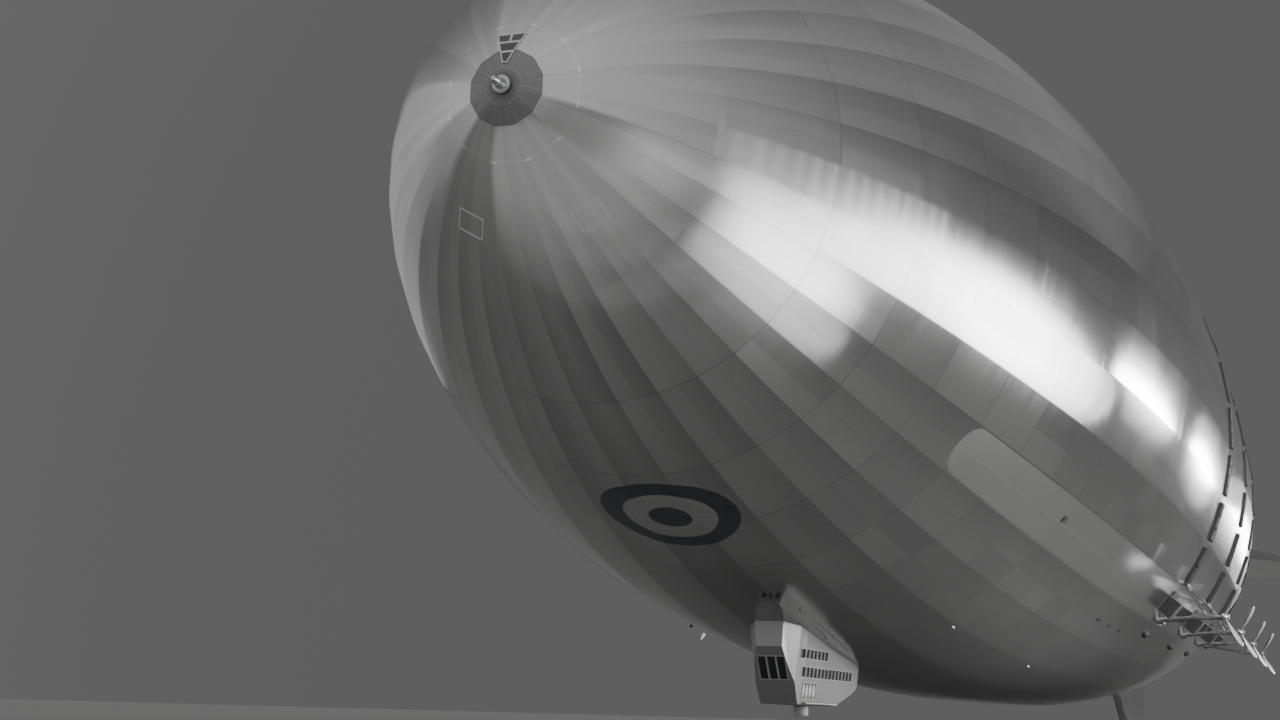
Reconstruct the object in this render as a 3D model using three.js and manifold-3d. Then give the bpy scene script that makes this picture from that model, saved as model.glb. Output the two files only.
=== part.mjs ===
// Large rigid airship with a polygonal fabric hull, as a model at one tenth of full size.
// Millimetres. +X runs forward to the nose, +Y to port and +Z up; the origin is the centre of buoyancy
// on the hull's axis. A station is a distance back from the nose, along the axis.
import * as THREE from "three";
import { mergeVertices } from "three/addons/utils/BufferGeometryUtils.js";
import Module from "manifold-3d";

const OVERALL_LENGTH = 23927;
const OVERALL_HEIGHT = 4465;
const HULL_RADIUS = 2025;
const HULL_SIDES = 36;
const SKIN = 10;
const GAP = 0.3;
const MOORING_CONE = 77;
const HULL_LENGTH = OVERALL_LENGTH - MOORING_CONE;
const NOSE_X = 10800;

// The hull's curve: full to its greatest radius over the fore body, then a long taper to the tail.
const FORE_BODY = 0.4 * HULL_LENGTH;
const FORE_FULLNESS = 3.14;
const FORE_ROUNDING = 1.7;
const AFT_FULLNESS = 2.8;

const RUDDER_POST = 21550;
const FIN_TIP = OVERALL_HEIGHT / 2;
const MOVING_GAP = 6;
const RUNNING_GAP = 0.5;

const COLOURS = {
  doped_fabric: { color: 0xb9bab8, roughness: 0.42, metalness: 0.55 },
  nose_metal: { color: 0x55565a, roughness: 0.45, metalness: 0.8 },
  dark_cooler: { color: 0x1d1e20, roughness: 0.7, metalness: 0.3 },
  strut_metal: { color: 0x8d8f92, roughness: 0.4, metalness: 0.8 },
  propeller_metal: { color: 0xd5d7d8, roughness: 0.3, metalness: 0.9 },
  car_metal: { color: 0xa6a8a8, roughness: 0.45, metalness: 0.5 },
  glass: { color: 0x2a2d31, roughness: 0.1, metalness: 0.0 },
  bumper_canvas: { color: 0xcfcdc4, roughness: 0.9, metalness: 0.0 },
};

const wasm = await Module();
wasm.setup();
const airship = new THREE.Group();

function addPiece(name, shape, colour) {
  const geometry = shape.isBufferGeometry ? shape : toGeometry(shape);
  const mesh = new THREE.Mesh(geometry, new THREE.MeshStandardMaterial(COLOURS[colour]));
  mesh.name = name;
  airship.add(mesh);
}

function toSolid(geometry) {
  const bare = geometry.clone();
  bare.deleteAttribute("normal");
  bare.deleteAttribute("uv");
  const merged = mergeVertices(bare, 1e-3);
  const mesh = new wasm.Mesh({
    numProp: 3,
    vertProperties: new Float32Array(merged.attributes.position.array),
    triVerts: new Uint32Array(merged.index.array),
  });
  return new wasm.Manifold(mesh);
}

function toGeometry(solid) {
  const mesh = solid.getMesh();
  const geometry = new THREE.BufferGeometry();
  geometry.setAttribute("position", new THREE.BufferAttribute(mesh.vertProperties, 3));
  geometry.setIndex(new THREE.BufferAttribute(mesh.triVerts, 1));
  geometry.computeVertexNormals();
  return geometry;
}

function hullRadius(station) {
  const ahead = Math.max(0, (FORE_BODY - station) / FORE_BODY);
  const behind = Math.max(0, (station - FORE_BODY) / (HULL_LENGTH - FORE_BODY));
  const fore = Math.pow(1 - Math.pow(ahead, FORE_FULLNESS), 1 / FORE_ROUNDING);
  const aft = 1 - Math.pow(Math.min(behind, 1), AFT_FULLNESS);
  return HULL_RADIUS * fore * aft;
}

// A turned shape about the ship's axis from [radius, x] pairs, given from the nose back along its
// outside. The top and the bottom lie midway between two ridges.
function turned(profile, sides = HULL_SIDES) {
  const points = [...profile].reverse().map(([radius, x]) => new THREE.Vector2(radius, x));
  const firstRidge = Math.PI / sides;
  return new THREE.LatheGeometry(points, sides, firstRidge).rotateZ(-Math.PI / 2);
}

// Hull sections between main rings: each section's ring stations.
const HULL_SECTIONS = [
  { name: "nose_cap", stations: [0, 5, 16, 35] },
  { name: "hull_bow", stations: [35, 70, 130, 220, 340, 475, 700, 1000, 1340, 1675] },
  { name: "hull_fore_1", stations: [1675, 2240, 2800, 3370, 3960, 4550] },
  { name: "hull_fore_2", stations: [4550, 5300, 6050, 6800] },
  { name: "hull_mid_1", stations: [6800, 7925, 9050, 10175, 11300] },
  { name: "hull_mid_2", stations: [11300, 12425, 13550, 14675, 15800] },
  { name: "hull_aft_1", stations: [15800, 16925, 18050, 18925, 19800] },
  { name: "hull_aft_2", stations: [19800, 20675, 21550] },
  { name: "tail_cone", stations: [21550, 22125, 22700, 23150, 23500, 23700, 23800, HULL_LENGTH] },
];

function hullSection(stations) {
  const first = stations[0];
  const last = stations[stations.length - 1];
  const places = stations.map((station) => {
    if (station === first && first > 0) return station + GAP / 2;
    if (station === last && last < HULL_LENGTH) return station - GAP / 2;
    return station;
  });
  const outer = places.map((station) => [hullRadius(station), NOSE_X - station]);
  const inner = places.map((station) => {
    const inward = first === 0 ? Math.max(station, SKIN) : Math.min(station, HULL_LENGTH - SKIN);
    return [Math.max(0, hullRadius(station) - SKIN), NOSE_X - inward];
  });
  const profile = [...outer, ...inner.reverse()];
  if (first > 0 && last < HULL_LENGTH) profile.push(outer[0]);
  if (last === HULL_LENGTH) profile.push(outer[0]);
  return turned(profile);
}

for (const { name, stations } of HULL_SECTIONS)
  addPiece(name, hullSection(stations), name === "nose_cap" ? "nose_metal" : "doped_fabric");

// The whole hull as one filled solid, grown outwards, to cut what stands on the skin.
function filledHull(growth) {
  const stations = [...new Set(HULL_SECTIONS.flatMap((section) => section.stations))];
  const profile = stations.map((station) => [hullRadius(station) + growth, NOSE_X - station]);
  profile[0] = [0, NOSE_X + growth];
  profile[profile.length - 1] = [0, NOSE_X - HULL_LENGTH - growth];
  return toSolid(turned(profile));
}
const hullCutter = filledHull(GAP);

// Mooring cone: a stepped spindle on the nose that a mooring mast's cup takes.
const CONE_PROFILE = [
  [0, NOSE_X + MOORING_CONE],
  [8, NOSE_X + MOORING_CONE],
  [13, NOSE_X + 52],
  [20, NOSE_X + 20],
  [34, NOSE_X + 12],
  [34, NOSE_X + GAP],
  [0, NOSE_X + GAP],
];
addPiece("mooring_cone", turned(CONE_PROFILE, 18), "strut_metal");

// A solid bar between two points.
function strut(from, to, radius, sides = 8) {
  const start = new THREE.Vector3(...from);
  const end = new THREE.Vector3(...to);
  const bar = new THREE.CylinderGeometry(radius, radius, start.distanceTo(end), sides);
  const along = end.clone().sub(start).normalize();
  const turn = new THREE.Quaternion().setFromUnitVectors(new THREE.Vector3(0, 1, 0), along);
  bar.applyQuaternion(turn);
  bar.translate(...start.add(end).multiplyScalar(0.5));
  return toSolid(bar);
}

function block(low, high) {
  const size = low.map((value, i) => high[i] - value);
  const middle = low.map((value, i) => (high[i] + value) / 2);
  return toSolid(new THREE.BoxGeometry(...size).translate(...middle));
}

// A prism along X, from one x to another, over an outline of [y, z] pairs.
function prismAlongX(outline, fromX, toX) {
  const shape = new THREE.Shape(outline.map(([y, z]) => new THREE.Vector2(y, z)));
  const prism = new THREE.ExtrudeGeometry(shape, { depth: toX - fromX, bevelEnabled: false });
  const axes = new THREE.Matrix4().makeBasis(
    new THREE.Vector3(0, 1, 0),
    new THREE.Vector3(0, 0, 1),
    new THREE.Vector3(1, 0, 0),
  );
  return toSolid(prism.applyMatrix4(axes).translate(fromX, 0, 0));
}

// A point on a circle about the axis, at an angle from the top towards the given side.
function around(angle, radius, side) {
  const turn = THREE.MathUtils.degToRad(angle);
  return [side * radius * Math.sin(turn), radius * Math.cos(turn)];
}

// Four engine stations on each side, each with its cooler, outrigger, tilting gearbox and propeller.
const ENGINE_STATIONS = [8467, 10717, 12967, 15217];
const SIDES = [
  { letter: "p", side: 1 },
  { letter: "s", side: -1 },
];

// Condenser panels up the skin between the ridges, and the radiator box below them.
const CONDENSER = { low: 125, high: 65, width: 200, proud: 14, backing: 4, ridgeMargin: 0.9 };
const RADIATOR = { top: 128.2, bottom: 132.2, front: -445, length: 160, proud: 112 };
const LADDER = { top: 126, bottom: 129 };

// A pie slice of the hull's surroundings between two angles, as a prism along X.
function slice(fromAngle, toAngle, side, fromX, toX, reach = HULL_RADIUS * 1.2) {
  const outline = [[0, 0], around(fromAngle, reach, side), around(toAngle, reach, side)];
  if (side > 0) outline.reverse();
  return prismAlongX(outline, fromX, toX);
}

function cooler(station, side) {
  const x = NOSE_X - station;
  const aft = x - CONDENSER.width / 2;
  const fore = x + CONDENSER.width / 2;
  const thin = filledHull(CONDENSER.backing);
  const thick = filledHull(CONDENSER.proud);
  let strip = slice(CONDENSER.high, LADDER.bottom, side, aft, fore).intersect(thin);
  for (let ridge = CONDENSER.high; ridge < CONDENSER.low; ridge += 10) {
    const top = ridge + CONDENSER.ridgeMargin;
    const bottom = ridge + 10 - CONDENSER.ridgeMargin;
    strip = strip.add(slice(top, bottom, side, aft, fore).intersect(thick));
  }
  strip = strip.add(slice(LADDER.top, LADDER.bottom, side, aft, fore).intersect(thick));
  const boxFore = x - RADIATOR.front;
  const radiator = slice(RADIATOR.top, RADIATOR.bottom, side, boxFore - RADIATOR.length, boxFore);
  strip = strip.add(radiator.intersect(filledHull(RADIATOR.proud)));
  const duct = slice(RADIATOR.top, LADDER.bottom, side, aft, boxFore);
  strip = strip.add(duct.intersect(thick));
  return strip.subtract(hullCutter);
}

// Outrigger: two booms that meet at the bearing, and two stays from a bracket on the skin.
const HUB = { y: 1935, z: -1380 };
const OUTRIGGER = {
  boom: 15,
  secondBoom: 11,
  secondRoot: -230,
  stay: 7,
  rootAngle: 134.3,
  bracketAngle: 124.4,
};
const ROOT_DEPTH = 14;
const BEARING = { inner: 1880, outer: 1908, radius: 20 };
const STAY_FOOT = { y: 1816, z: -1380 };

function outrigger(station, side) {
  const x = NOSE_X - station;
  const at = (y, z, dx = 0) => [x + dx, side * y, z];
  const onSkin = (angle, dx = 0) => [x + dx, ...around(angle, hullRadius(station - dx) - ROOT_DEPTH, side)];
  const tip = at(BEARING.inner + 8, HUB.z);
  const bracket = onSkin(OUTRIGGER.bracketAngle);
  const shape = [
    strut(onSkin(OUTRIGGER.rootAngle), tip, OUTRIGGER.boom, 10),
    strut(onSkin(OUTRIGGER.rootAngle, OUTRIGGER.secondRoot), tip, OUTRIGGER.secondBoom),
    strut(at(BEARING.inner, HUB.z), at(BEARING.outer, HUB.z), BEARING.radius, 10),
    strut(bracket, at(STAY_FOOT.y, STAY_FOOT.z), OUTRIGGER.stay),
    strut(bracket, at(BEARING.inner + 6, HUB.z + 6), OUTRIGGER.stay),
  ].reduce((whole, piece) => whole.add(piece));
  const stripTop = slice(CONDENSER.high, LADDER.bottom, side, x - CONDENSER.width, x + CONDENSER.width);
  return shape.subtract(stripTop.intersect(filledHull(CONDENSER.backing + GAP))).subtract(hullCutter);
}

// Gearbox: turns on the bearing about the boom's axis and carries the propeller ahead of it.
const GEARBOX = { inner: BEARING.outer + RUNNING_GAP, outer: 1968, radius: 27, nose: 44, noseRadius: 15 };
const PROPELLER = { radius: 243, hub: 20, plane: 62, chord: 30, blades: 3, rootPitch: 52, tipPitch: 18 };

function gearbox(station, side) {
  const x = NOSE_X - station;
  const body = strut([x, side * GEARBOX.inner, HUB.z], [x, side * GEARBOX.outer, HUB.z], GEARBOX.radius, 12);
  const shaft = [x + GEARBOX.nose, side * HUB.y, HUB.z];
  return body.add(strut([x, side * HUB.y, HUB.z], shaft, GEARBOX.noseRadius, 12));
}

// One blade along +Z, thick and steep at the root and thin and flat at the tip, about the X axis.
function blade(hand) {
  const root = PROPELLER.hub * 0.4;
  const length = PROPELLER.radius - root;
  const plate = new THREE.BoxGeometry(8, PROPELLER.chord, length, 1, 1, 5);
  plate.translate(0, 0, root + length / 2);
  const places = plate.attributes.position;
  for (let i = 0; i < places.count; i++) {
    const share = (places.getZ(i) - root) / length;
    const chord = Math.sin(Math.PI * (0.22 + 0.66 * share)) * (share > 0.99 ? 0.55 : 1);
    const thickness = 1 - 0.7 * share;
    const pitch = THREE.MathUtils.degToRad(
      THREE.MathUtils.lerp(PROPELLER.rootPitch, PROPELLER.tipPitch, Math.sqrt(share)),
    );
    const x = places.getX(i) * thickness;
    const y = places.getY(i) * chord;
    places.setX(i, x * Math.cos(pitch) + y * Math.sin(pitch) * hand);
    places.setY(i, y * Math.cos(pitch) - x * Math.sin(pitch) * hand);
  }
  return toSolid(plate);
}

function propeller(station, side) {
  const x = NOSE_X - station + PROPELLER.plane;
  const back = x - PROPELLER.plane + GEARBOX.nose + RUNNING_GAP;
  let shape = strut([back, 0, 0], [x + 12, 0, 0], PROPELLER.hub, 12);
  shape = shape.add(strut([x + 11, 0, 0], [x + 24, 0, 0], PROPELLER.hub * 0.6, 12));
  for (let k = 0; k < PROPELLER.blades; k++) {
    const angle = 90 + (k * 360) / PROPELLER.blades;
    shape = shape.add(blade(side).rotate([side * angle, 0, 0]).translate([x, 0, 0]));
  }
  return shape.translate([0, side * HUB.y, HUB.z]);
}

for (const { letter, side } of SIDES)
  ENGINE_STATIONS.forEach((station, index) => {
    const tag = `${letter}${index + 1}`;
    addPiece(`cooler_${tag}`, cooler(station, side), "dark_cooler");
    addPiece(`outrigger_${tag}`, outrigger(station, side), "strut_metal");
    addPiece(`gearbox_${tag}`, gearbox(station, side), "strut_metal");
    addPiece(`propeller_${tag}`, propeller(station, side), "propeller_metal");
  });

// Fins: four alike, drawn as the top one, in [station, height above the axis] pairs.
const RUDDER = { noseRadius: 40, tipThickness: 40, edge: 30 };
const FIN_REAR = RUDDER_POST - RUDDER.noseRadius - MOVING_GAP;
const FIN_OUTLINE = [
  [FIN_REAR, 700],
  [17700, 1250],
  [18000, 1480],
  [19400, 2110],
  [20150, FIN_TIP],
  [FIN_REAR, FIN_TIP],
];
const FIN = { rootThickness: 190, tipThickness: 80, edge: 100, foot: 800 };
// Rudder and elevator planform behind the post, with its nose round the hinge line.
const RUDDER_OUTLINE = [
  [RUDDER_POST, 865],
  [22300, 640],
  [22420, 760],
  [22330, 1900],
  [22150, 2150],
  [21950, FIN_TIP],
  [RUDDER_POST, FIN_TIP],
];

// A flat surface over an outline in the XZ plane, thinner towards its tip and its edges.
function surface(outline, rootThickness, tipThickness, edge) {
  const points = outline.map(([station, height]) => new THREE.Vector2(NOSE_X - station, height));
  const plate = new THREE.ExtrudeGeometry(new THREE.Shape(points), {
    depth: 0.2,
    bevelSize: edge,
    bevelOffset: -edge,
    bevelThickness: 0.4,
    bevelSegments: 1,
  });
  plate.rotateX(Math.PI / 2).translate(0, 0.1, 0);
  const places = plate.attributes.position;
  for (let i = 0; i < places.count; i++) {
    const share = (places.getZ(i) - FIN.foot) / (FIN_TIP - FIN.foot);
    const thickness = THREE.MathUtils.lerp(rootThickness, tipThickness, share);
    places.setY(i, places.getY(i) * thickness);
  }
  return toSolid(plate);
}

// Name, turn about the ship's axis, and the moving surface behind it.
const TAIL = [
  { name: "fin_top", turn: 0, moving: "rudder_top" },
  { name: "fin_starboard", turn: 90, moving: "elevator_starboard" },
  { name: "fin_bottom", turn: 180, moving: "rudder_bottom" },
  { name: "fin_port", turn: 270, moving: "elevator_port" },
];

// Hinges: lugs on the fin's rear edge, each with a pin into the moving surface above and below it.
const HINGE = { heights: [1050, 1980], plate: 20, roundEnd: 20, pin: 6, pinReach: 14, slotBack: 26 };
const HINGE_X = NOSE_X - RUDDER_POST;

function upright(low, high, radius, sides) {
  return strut([HINGE_X, 0, low], [HINGE_X, 0, high], radius, sides);
}

function hingeLugs() {
  const fore = HINGE_X + RUDDER.noseRadius + MOVING_GAP + 12;
  return HINGE.heights
    .map((height) => {
      const low = height - HINGE.plate / 2;
      const high = height + HINGE.plate / 2;
      const arm = block([HINGE_X, -HINGE.roundEnd, low], [fore, HINGE.roundEnd, high]);
      const eye = upright(low, high, HINGE.roundEnd, 10);
      return arm.add(eye).add(upright(low - HINGE.pinReach, high + HINGE.pinReach, HINGE.pin, 8));
    })
    .reduce((whole, lug) => whole.add(lug));
}

function movingSurface() {
  const nose = upright(RUDDER_OUTLINE[0][1], FIN_TIP - 1, RUDDER.noseRadius, 12);
  let shape = surface(RUDDER_OUTLINE, 2 * RUDDER.noseRadius, RUDDER.tipThickness, RUDDER.edge).add(nose);
  for (const height of HINGE.heights) {
    const low = height - HINGE.plate / 2 - RUNNING_GAP;
    const high = height + HINGE.plate / 2 + RUNNING_GAP;
    const reach = 2 * RUDDER.noseRadius;
    shape = shape.subtract(block([HINGE_X - HINGE.slotBack, -reach, low], [HINGE_X + reach, reach, high]));
    const bore = HINGE.pin + RUNNING_GAP;
    shape = shape.subtract(upright(low - HINGE.pinReach, high + HINGE.pinReach, bore, 8));
  }
  return shape;
}

for (const { name, turn, moving } of TAIL) {
  const fin = surface(FIN_OUTLINE, FIN.rootThickness, FIN.tipThickness, FIN.edge);
  const seated = fin.add(hingeLugs()).rotate([turn, 0, 0]).subtract(hullCutter);
  addPiece(name, seated, "doped_fabric");
  addPiece(moving, movingSurface().rotate([turn, 0, 0]), "doped_fabric");
}

// Control car: a hollow cabin under the fore body, drawn as a plan narrowing downwards and a side view.
const CAR = { wall: 8, top: -1700, bottom: -2115, foot: -2020, halfWidth: 152, halfFoot: 100 };
const CAR_PLAN = [
  // Station and share of the half width.
  [3400, 0.5],
  [3520, 0.92],
  [3620, 1],
  [4650, 1],
  [4860, 0.82],
  [4960, 0.3],
];
const CAR_SIDE = [
  // Station and height.
  [3380, -1700],
  [3400, -1830],
  [3590, -2115],
  [4330, -2115],
  [4800, -2020],
  [4970, -1960],
  [4970, -1700],
];

function carBody(inset) {
  const half = CAR.halfWidth - inset;
  const port = CAR_PLAN.map(([station, share], index) => {
    const end = index === 0 ? inset : index === CAR_PLAN.length - 1 ? -inset : 0;
    return [station + end, share * half];
  });
  const starboard = [...port].reverse().map(([station, y]) => [station, -y]);
  const outline = [...port, ...starboard].map(([station, y]) => new THREE.Vector2(NOSE_X - station, y));
  const height = CAR.top - CAR.bottom;
  const plan = new THREE.ExtrudeGeometry(new THREE.Shape(outline), { depth: height, bevelEnabled: false });
  plan.translate(0, 0, CAR.bottom);
  const places = plan.attributes.position;
  for (let i = 0; i < places.count; i++) {
    const narrowing = places.getZ(i) < CAR.bottom + 1 ? CAR.halfFoot / CAR.halfWidth : 1;
    places.setY(i, places.getY(i) * narrowing);
  }
  const side = CAR_SIDE.map(([station, level], index) => {
    const lift = index > 1 && index < CAR_SIDE.length - 1 ? inset : 0;
    const end = index < 3 ? inset : index > 4 ? -inset : 0;
    return new THREE.Vector2(NOSE_X - station - end, level + lift);
  });
  const depth = 2 * CAR.halfWidth + 20;
  const profile = new THREE.ExtrudeGeometry(new THREE.Shape(side), { depth, bevelEnabled: false });
  profile.rotateX(Math.PI / 2).translate(0, depth / 2, 0);
  return toSolid(plan).intersect(toSolid(profile));
}

// Windows of the car: rows of openings through both sides, then those of the raked front.
const CAR_WINDOWS = [
  // First station, pitch, count, width, and the heights of sill and head.
  { first: 3560, pitch: 74, count: 7, width: 56, sill: -1880, head: -1835 },
  { first: 3600, pitch: 74, count: 14, width: 56, sill: -1975, head: -1925 },
  { first: 3640, pitch: 66, count: 4, width: 52, sill: -2085, head: -2005 },
];
const CAR_FRONT = { across: [-50, 0, 50], width: 40, sill: -1990, head: -1880, from: 3370, to: 3560 };

function carWindows() {
  const cuts = CAR_WINDOWS.flatMap(({ first, pitch, count, width, sill, head }) =>
    Array.from({ length: count }, (_, k) => {
      const x = NOSE_X - first - k * pitch;
      return block([x - width, -2 * CAR.halfWidth, sill], [x, 2 * CAR.halfWidth, head]);
    }),
  );
  const { across, width, sill, head, from, to } = CAR_FRONT;
  for (const y of across)
    cuts.push(block([NOSE_X - to, y - width / 2, sill], [NOSE_X - from, y + width / 2, head]));
  return cuts.reduce((whole, cut) => whole.add(cut));
}

const carHollow = carBody(CAR.wall).add(carBody(CAR.wall).translate([0, 0, 60]));
const carShell = carBody(0).subtract(carHollow).subtract(carWindows()).subtract(hullCutter);
addPiece("control_car", carShell, "car_metal");

// Glazing: one clear lining just inside the cabin's wall, over the window rows.
const GLAZING = { thickness: 2.4, low: -2095, high: -1825 };
const glassBand = block([NOSE_X - 5000, -200, GLAZING.low], [NOSE_X - 3300, 200, GLAZING.high]);
const glass = carBody(CAR.wall + GAP).subtract(carBody(CAR.wall + GAP + GLAZING.thickness));
addPiece("control_car_glazing", glass.intersect(glassBand).subtract(hullCutter), "glass");

// Landing bumper: a padded drum under the middle of the car.
const BUMPER = { station: 4000, radius: 42, height: 62 };
const bumperProfile = [
  [0, 0],
  [BUMPER.radius * 0.7, 0],
  [BUMPER.radius, 14],
  [BUMPER.radius, 44],
  [BUMPER.radius * 0.8, BUMPER.height],
  [0, BUMPER.height],
].map(([radius, height]) => new THREE.Vector2(radius, height));
const bumper = new THREE.LatheGeometry(bumperProfile, 16).rotateX(Math.PI / 2);
bumper.translate(NOSE_X - BUMPER.station, 0, CAR.bottom - GAP - BUMPER.height);
addPiece("car_bumper", toSolid(bumper), "bumper_canvas");

export default airship;
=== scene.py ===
"""A large rigid airship as a one-tenth scale model, seen from the floor ahead of its port bow.

Metres. +X runs forward to the nose, +Y to port and +Z up. A station is a distance back from the nose.
"""

import math

import bpy
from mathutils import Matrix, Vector


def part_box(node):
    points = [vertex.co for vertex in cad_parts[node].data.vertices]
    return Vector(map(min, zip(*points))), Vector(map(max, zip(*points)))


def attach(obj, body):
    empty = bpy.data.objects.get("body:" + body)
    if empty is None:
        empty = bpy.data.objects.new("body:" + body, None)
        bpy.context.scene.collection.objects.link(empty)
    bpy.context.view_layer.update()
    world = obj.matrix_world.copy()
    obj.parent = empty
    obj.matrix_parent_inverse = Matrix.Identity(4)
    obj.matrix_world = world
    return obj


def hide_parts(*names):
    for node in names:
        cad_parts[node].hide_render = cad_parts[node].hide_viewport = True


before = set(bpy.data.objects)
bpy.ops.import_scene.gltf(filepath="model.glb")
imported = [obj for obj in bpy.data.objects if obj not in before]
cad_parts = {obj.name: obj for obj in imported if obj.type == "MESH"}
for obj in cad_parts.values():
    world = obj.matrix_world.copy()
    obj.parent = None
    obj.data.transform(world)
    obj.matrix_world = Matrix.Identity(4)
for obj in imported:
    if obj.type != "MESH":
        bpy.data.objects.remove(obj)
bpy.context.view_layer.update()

# Camera: it stands on the floor ahead of the nose on the port side and looks up and aft at the bow.
# The lens is a slightly long one for a 36 mm wide frame.
CAMERA_PLACE = (16.463, 2.704, -2.187)
CAMERA_TURN = (100.8911, -1.4986, 110.5131)
CAMERA_LENS = 51.815
FILM_WIDTH = 36
FARTHEST_SEEN = 400
bpy.ops.object.camera_add(location=CAMERA_PLACE)
camera = bpy.context.object
camera.name = "bow_camera"
camera.rotation_euler = [math.radians(degrees) for degrees in CAMERA_TURN]
camera.data.lens = CAMERA_LENS
camera.data.sensor_width = FILM_WIDTH
camera.data.clip_end = FARTHEST_SEEN
bpy.context.scene.camera = camera

# Studio: a plain pale floor, soft panels of light that light the model alone, and a sky brighter ahead.
# Long low panels to port and far aft give the hull its long highlight, and panels that lie on the
# floor off the port bow light the bow from below. The camera doesn't see the panels themselves.
FLOOR_LEVEL = -2.32
FLOOR_SIZE = 300
FLOOR_COLOUR = (0.36, 0.36, 0.355, 1)
FLOOR_ROUGHNESS = 0.8
SKY_COLOUR = (0.36, 0.36, 0.36, 1)
# From how far aft to how far ahead the sky grows brighter, and its strength at either end.
SKY_RISE = {"From Min": -0.9, "From Max": 0.9, "To Min": 0.33, "To Max": 1.9}
# A soft edge is made of several panels, each wider than the one before it and a little behind it.
EDGE_LAYERS = 5
LAYER_GAP = 0.02
LIGHT_PANELS = [
    # Name, place, point it faces, width, height, watts, spread of a soft edge as a share of the size.
    ("port_bow_panel", (2.95, 6.5, -0.9), (2.95, 0.0, -0.9), 7.6, 2.1, 500, 0.55),
    ("port_mid_panel", (-26.1, 14.55, 1.72), (6.3, 1.8, -0.48), 6.9, 2.0, 880, 0),
    ("port_mid_fringe", (-26.2, 14.65, 1.72), (6.3, 1.8, -0.48), 7.4, 4.6, 90, 0),
    ("port_aft_panel", (-40.1, 10.05, 2.8), (4.1, 1.93, -0.51), 4.0, 2.4, 520, 0),
    ("port_aft_fringe", (-40.3, 10.05, 2.8), (4.1, 1.93, -0.51), 4.3, 5.2, 60, 0),
    ("far_aft_panel", (-59.8, 5.45, 3.7), (0.0, 1.95, -0.5), 6.0, 2.6, 560, 0),
    ("far_aft_fringe", (-60.1, 5.45, 3.7), (0.0, 1.95, -0.5), 8.0, 6.0, 100, 0),
    ("floor_panel_far", (7.5, 10.75, -2.25), (7.5, 10.75, 0.0), 7.6, 8.0, 900, 0.15),
    ("floor_panel_near", (9.0, 5.3, -2.25), (9.0, 5.3, 0.0), 3.0, 3.6, 220, 0.25),
    ("floor_panel_bow", (13.2, 10.4, -2.26), (13.2, 10.4, 0.0), 6.0, 11.0, 190, 0.3),
    ("floor_panel_low", (9.4, 2.95, -2.25), (9.4, 2.95, 0.0), 2.4, 1.6, 14, 0),
    ("floor_panel_ahead", (13.6, 1.4, -2.27), (13.6, 1.4, 0.0), 7.0, 10.0, 72, 0.3),
    ("overhead_panel", (-4.0, 2.0, 18.0), (-4.0, 0.0, 0.0), 68.0, 34.0, 850, 0.25),
    ("starboard_panel", (-2.0, -24.0, 6.0), (0.0, 0.0, 0.0), 50.0, 14.0, 500, 0),
]
bpy.ops.mesh.primitive_plane_add(size=FLOOR_SIZE, location=(0, 0, FLOOR_LEVEL))
floor = bpy.context.object
floor.name = "studio_floor"
floor_paint = bpy.data.materials.new("studio_floor_paint")
floor_paint.use_nodes = True
floor_shader = floor_paint.node_tree.nodes["Principled BSDF"]
floor_shader.inputs["Base Color"].default_value = FLOOR_COLOUR
floor_shader.inputs["Roughness"].default_value = FLOOR_ROUGHNESS
floor.data.materials.append(floor_paint)
all_but_floor = bpy.data.collections.new("all_but_floor")
all_but_floor.objects.link(floor)
all_but_floor.collection_objects[0].light_linking.link_state = "EXCLUDE"

for name, place, target, width, height, watts, soft_edge in LIGHT_PANELS:
    aim = (Vector(target) - Vector(place)).normalized()
    layers = EDGE_LAYERS if soft_edge else 1
    for layer in range(layers):
        spread = soft_edge * (2 * layer / (EDGE_LAYERS - 1) - 1)
        wider, higher = 1 + spread, 1 + spread / 2
        bpy.ops.object.light_add(type="AREA", location=Vector(place) - LAYER_GAP * layer * aim)
        panel = bpy.context.object
        panel.name = f"{name}_{layer + 1}"
        panel.data.shape = "RECTANGLE" if name == "overhead_panel" else "ELLIPSE"
        panel.data.size = width * wider
        panel.data.size_y = height * higher
        panel.data.energy = watts / layers * wider * higher
        panel.rotation_euler = aim.to_track_quat("-Z", "Y").to_euler()
        panel.visible_camera = False
        panel.light_linking.receiver_collection = all_but_floor

sky = bpy.data.worlds.new("studio_sky")
sky.use_nodes = True
sky_tree = sky.node_tree
background = sky_tree.nodes["Background"].inputs
background["Color"].default_value = SKY_COLOUR
direction = sky_tree.nodes.new("ShaderNodeSeparateXYZ")
sky_tree.links.new(sky_tree.nodes.new("ShaderNodeTexCoord").outputs["Generated"], direction.inputs[0])
sky_rise = sky_tree.nodes.new("ShaderNodeMapRange")
sky_rise.interpolation_type = "SMOOTHSTEP"
for socket, value in SKY_RISE.items():
    sky_rise.inputs[socket].default_value = value
sky_tree.links.new(direction.outputs["X"], sky_rise.inputs["Value"])
sky_tree.links.new(sky_rise.outputs["Result"], background["Strength"])
bpy.context.scene.world = sky

# Aluminium dope on cotton: a satin metal paint, brushed on along the ship, over sewn cloth panels.
# Every half gore and cloth length has its own tone, seams and weave show through, and painted shade lies
# below each girder.
NOSE_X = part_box("nose_cap")[1][0]
DEGREE = math.radians(1)
HALF_GORE_DEGREES = 5.0
CLOTH_LENGTH = 0.5
CROSS_SEAM = 0.006
LENGTH_SEAM = 0.003
SEAMS_BEHIND = 0.7
WEAVE_SCALE = (26.0, 2.5, 2.5)
SLACK_ENDS = 2.0
# Painted shade: behind this station each gore is painted darker just below its upper girder, fading out
# towards the next girder down.
PAINTED_SHADE_BEGINS = 0.2
DOPE_LIGHT = (0.66, 0.66, 0.655, 1)
DOPE_DARK = (0.50, 0.50, 0.50, 1)
SEAM_GREY = (0.22, 0.22, 0.22, 1)
PAINTED_SHADE_GREY = (0.25, 0.25, 0.25, 1)
DOPE_METALLIC = 0.97
DOPE_BRUSHING = 0.87
DOPE_ROUGHNESS = 0.075


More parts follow.
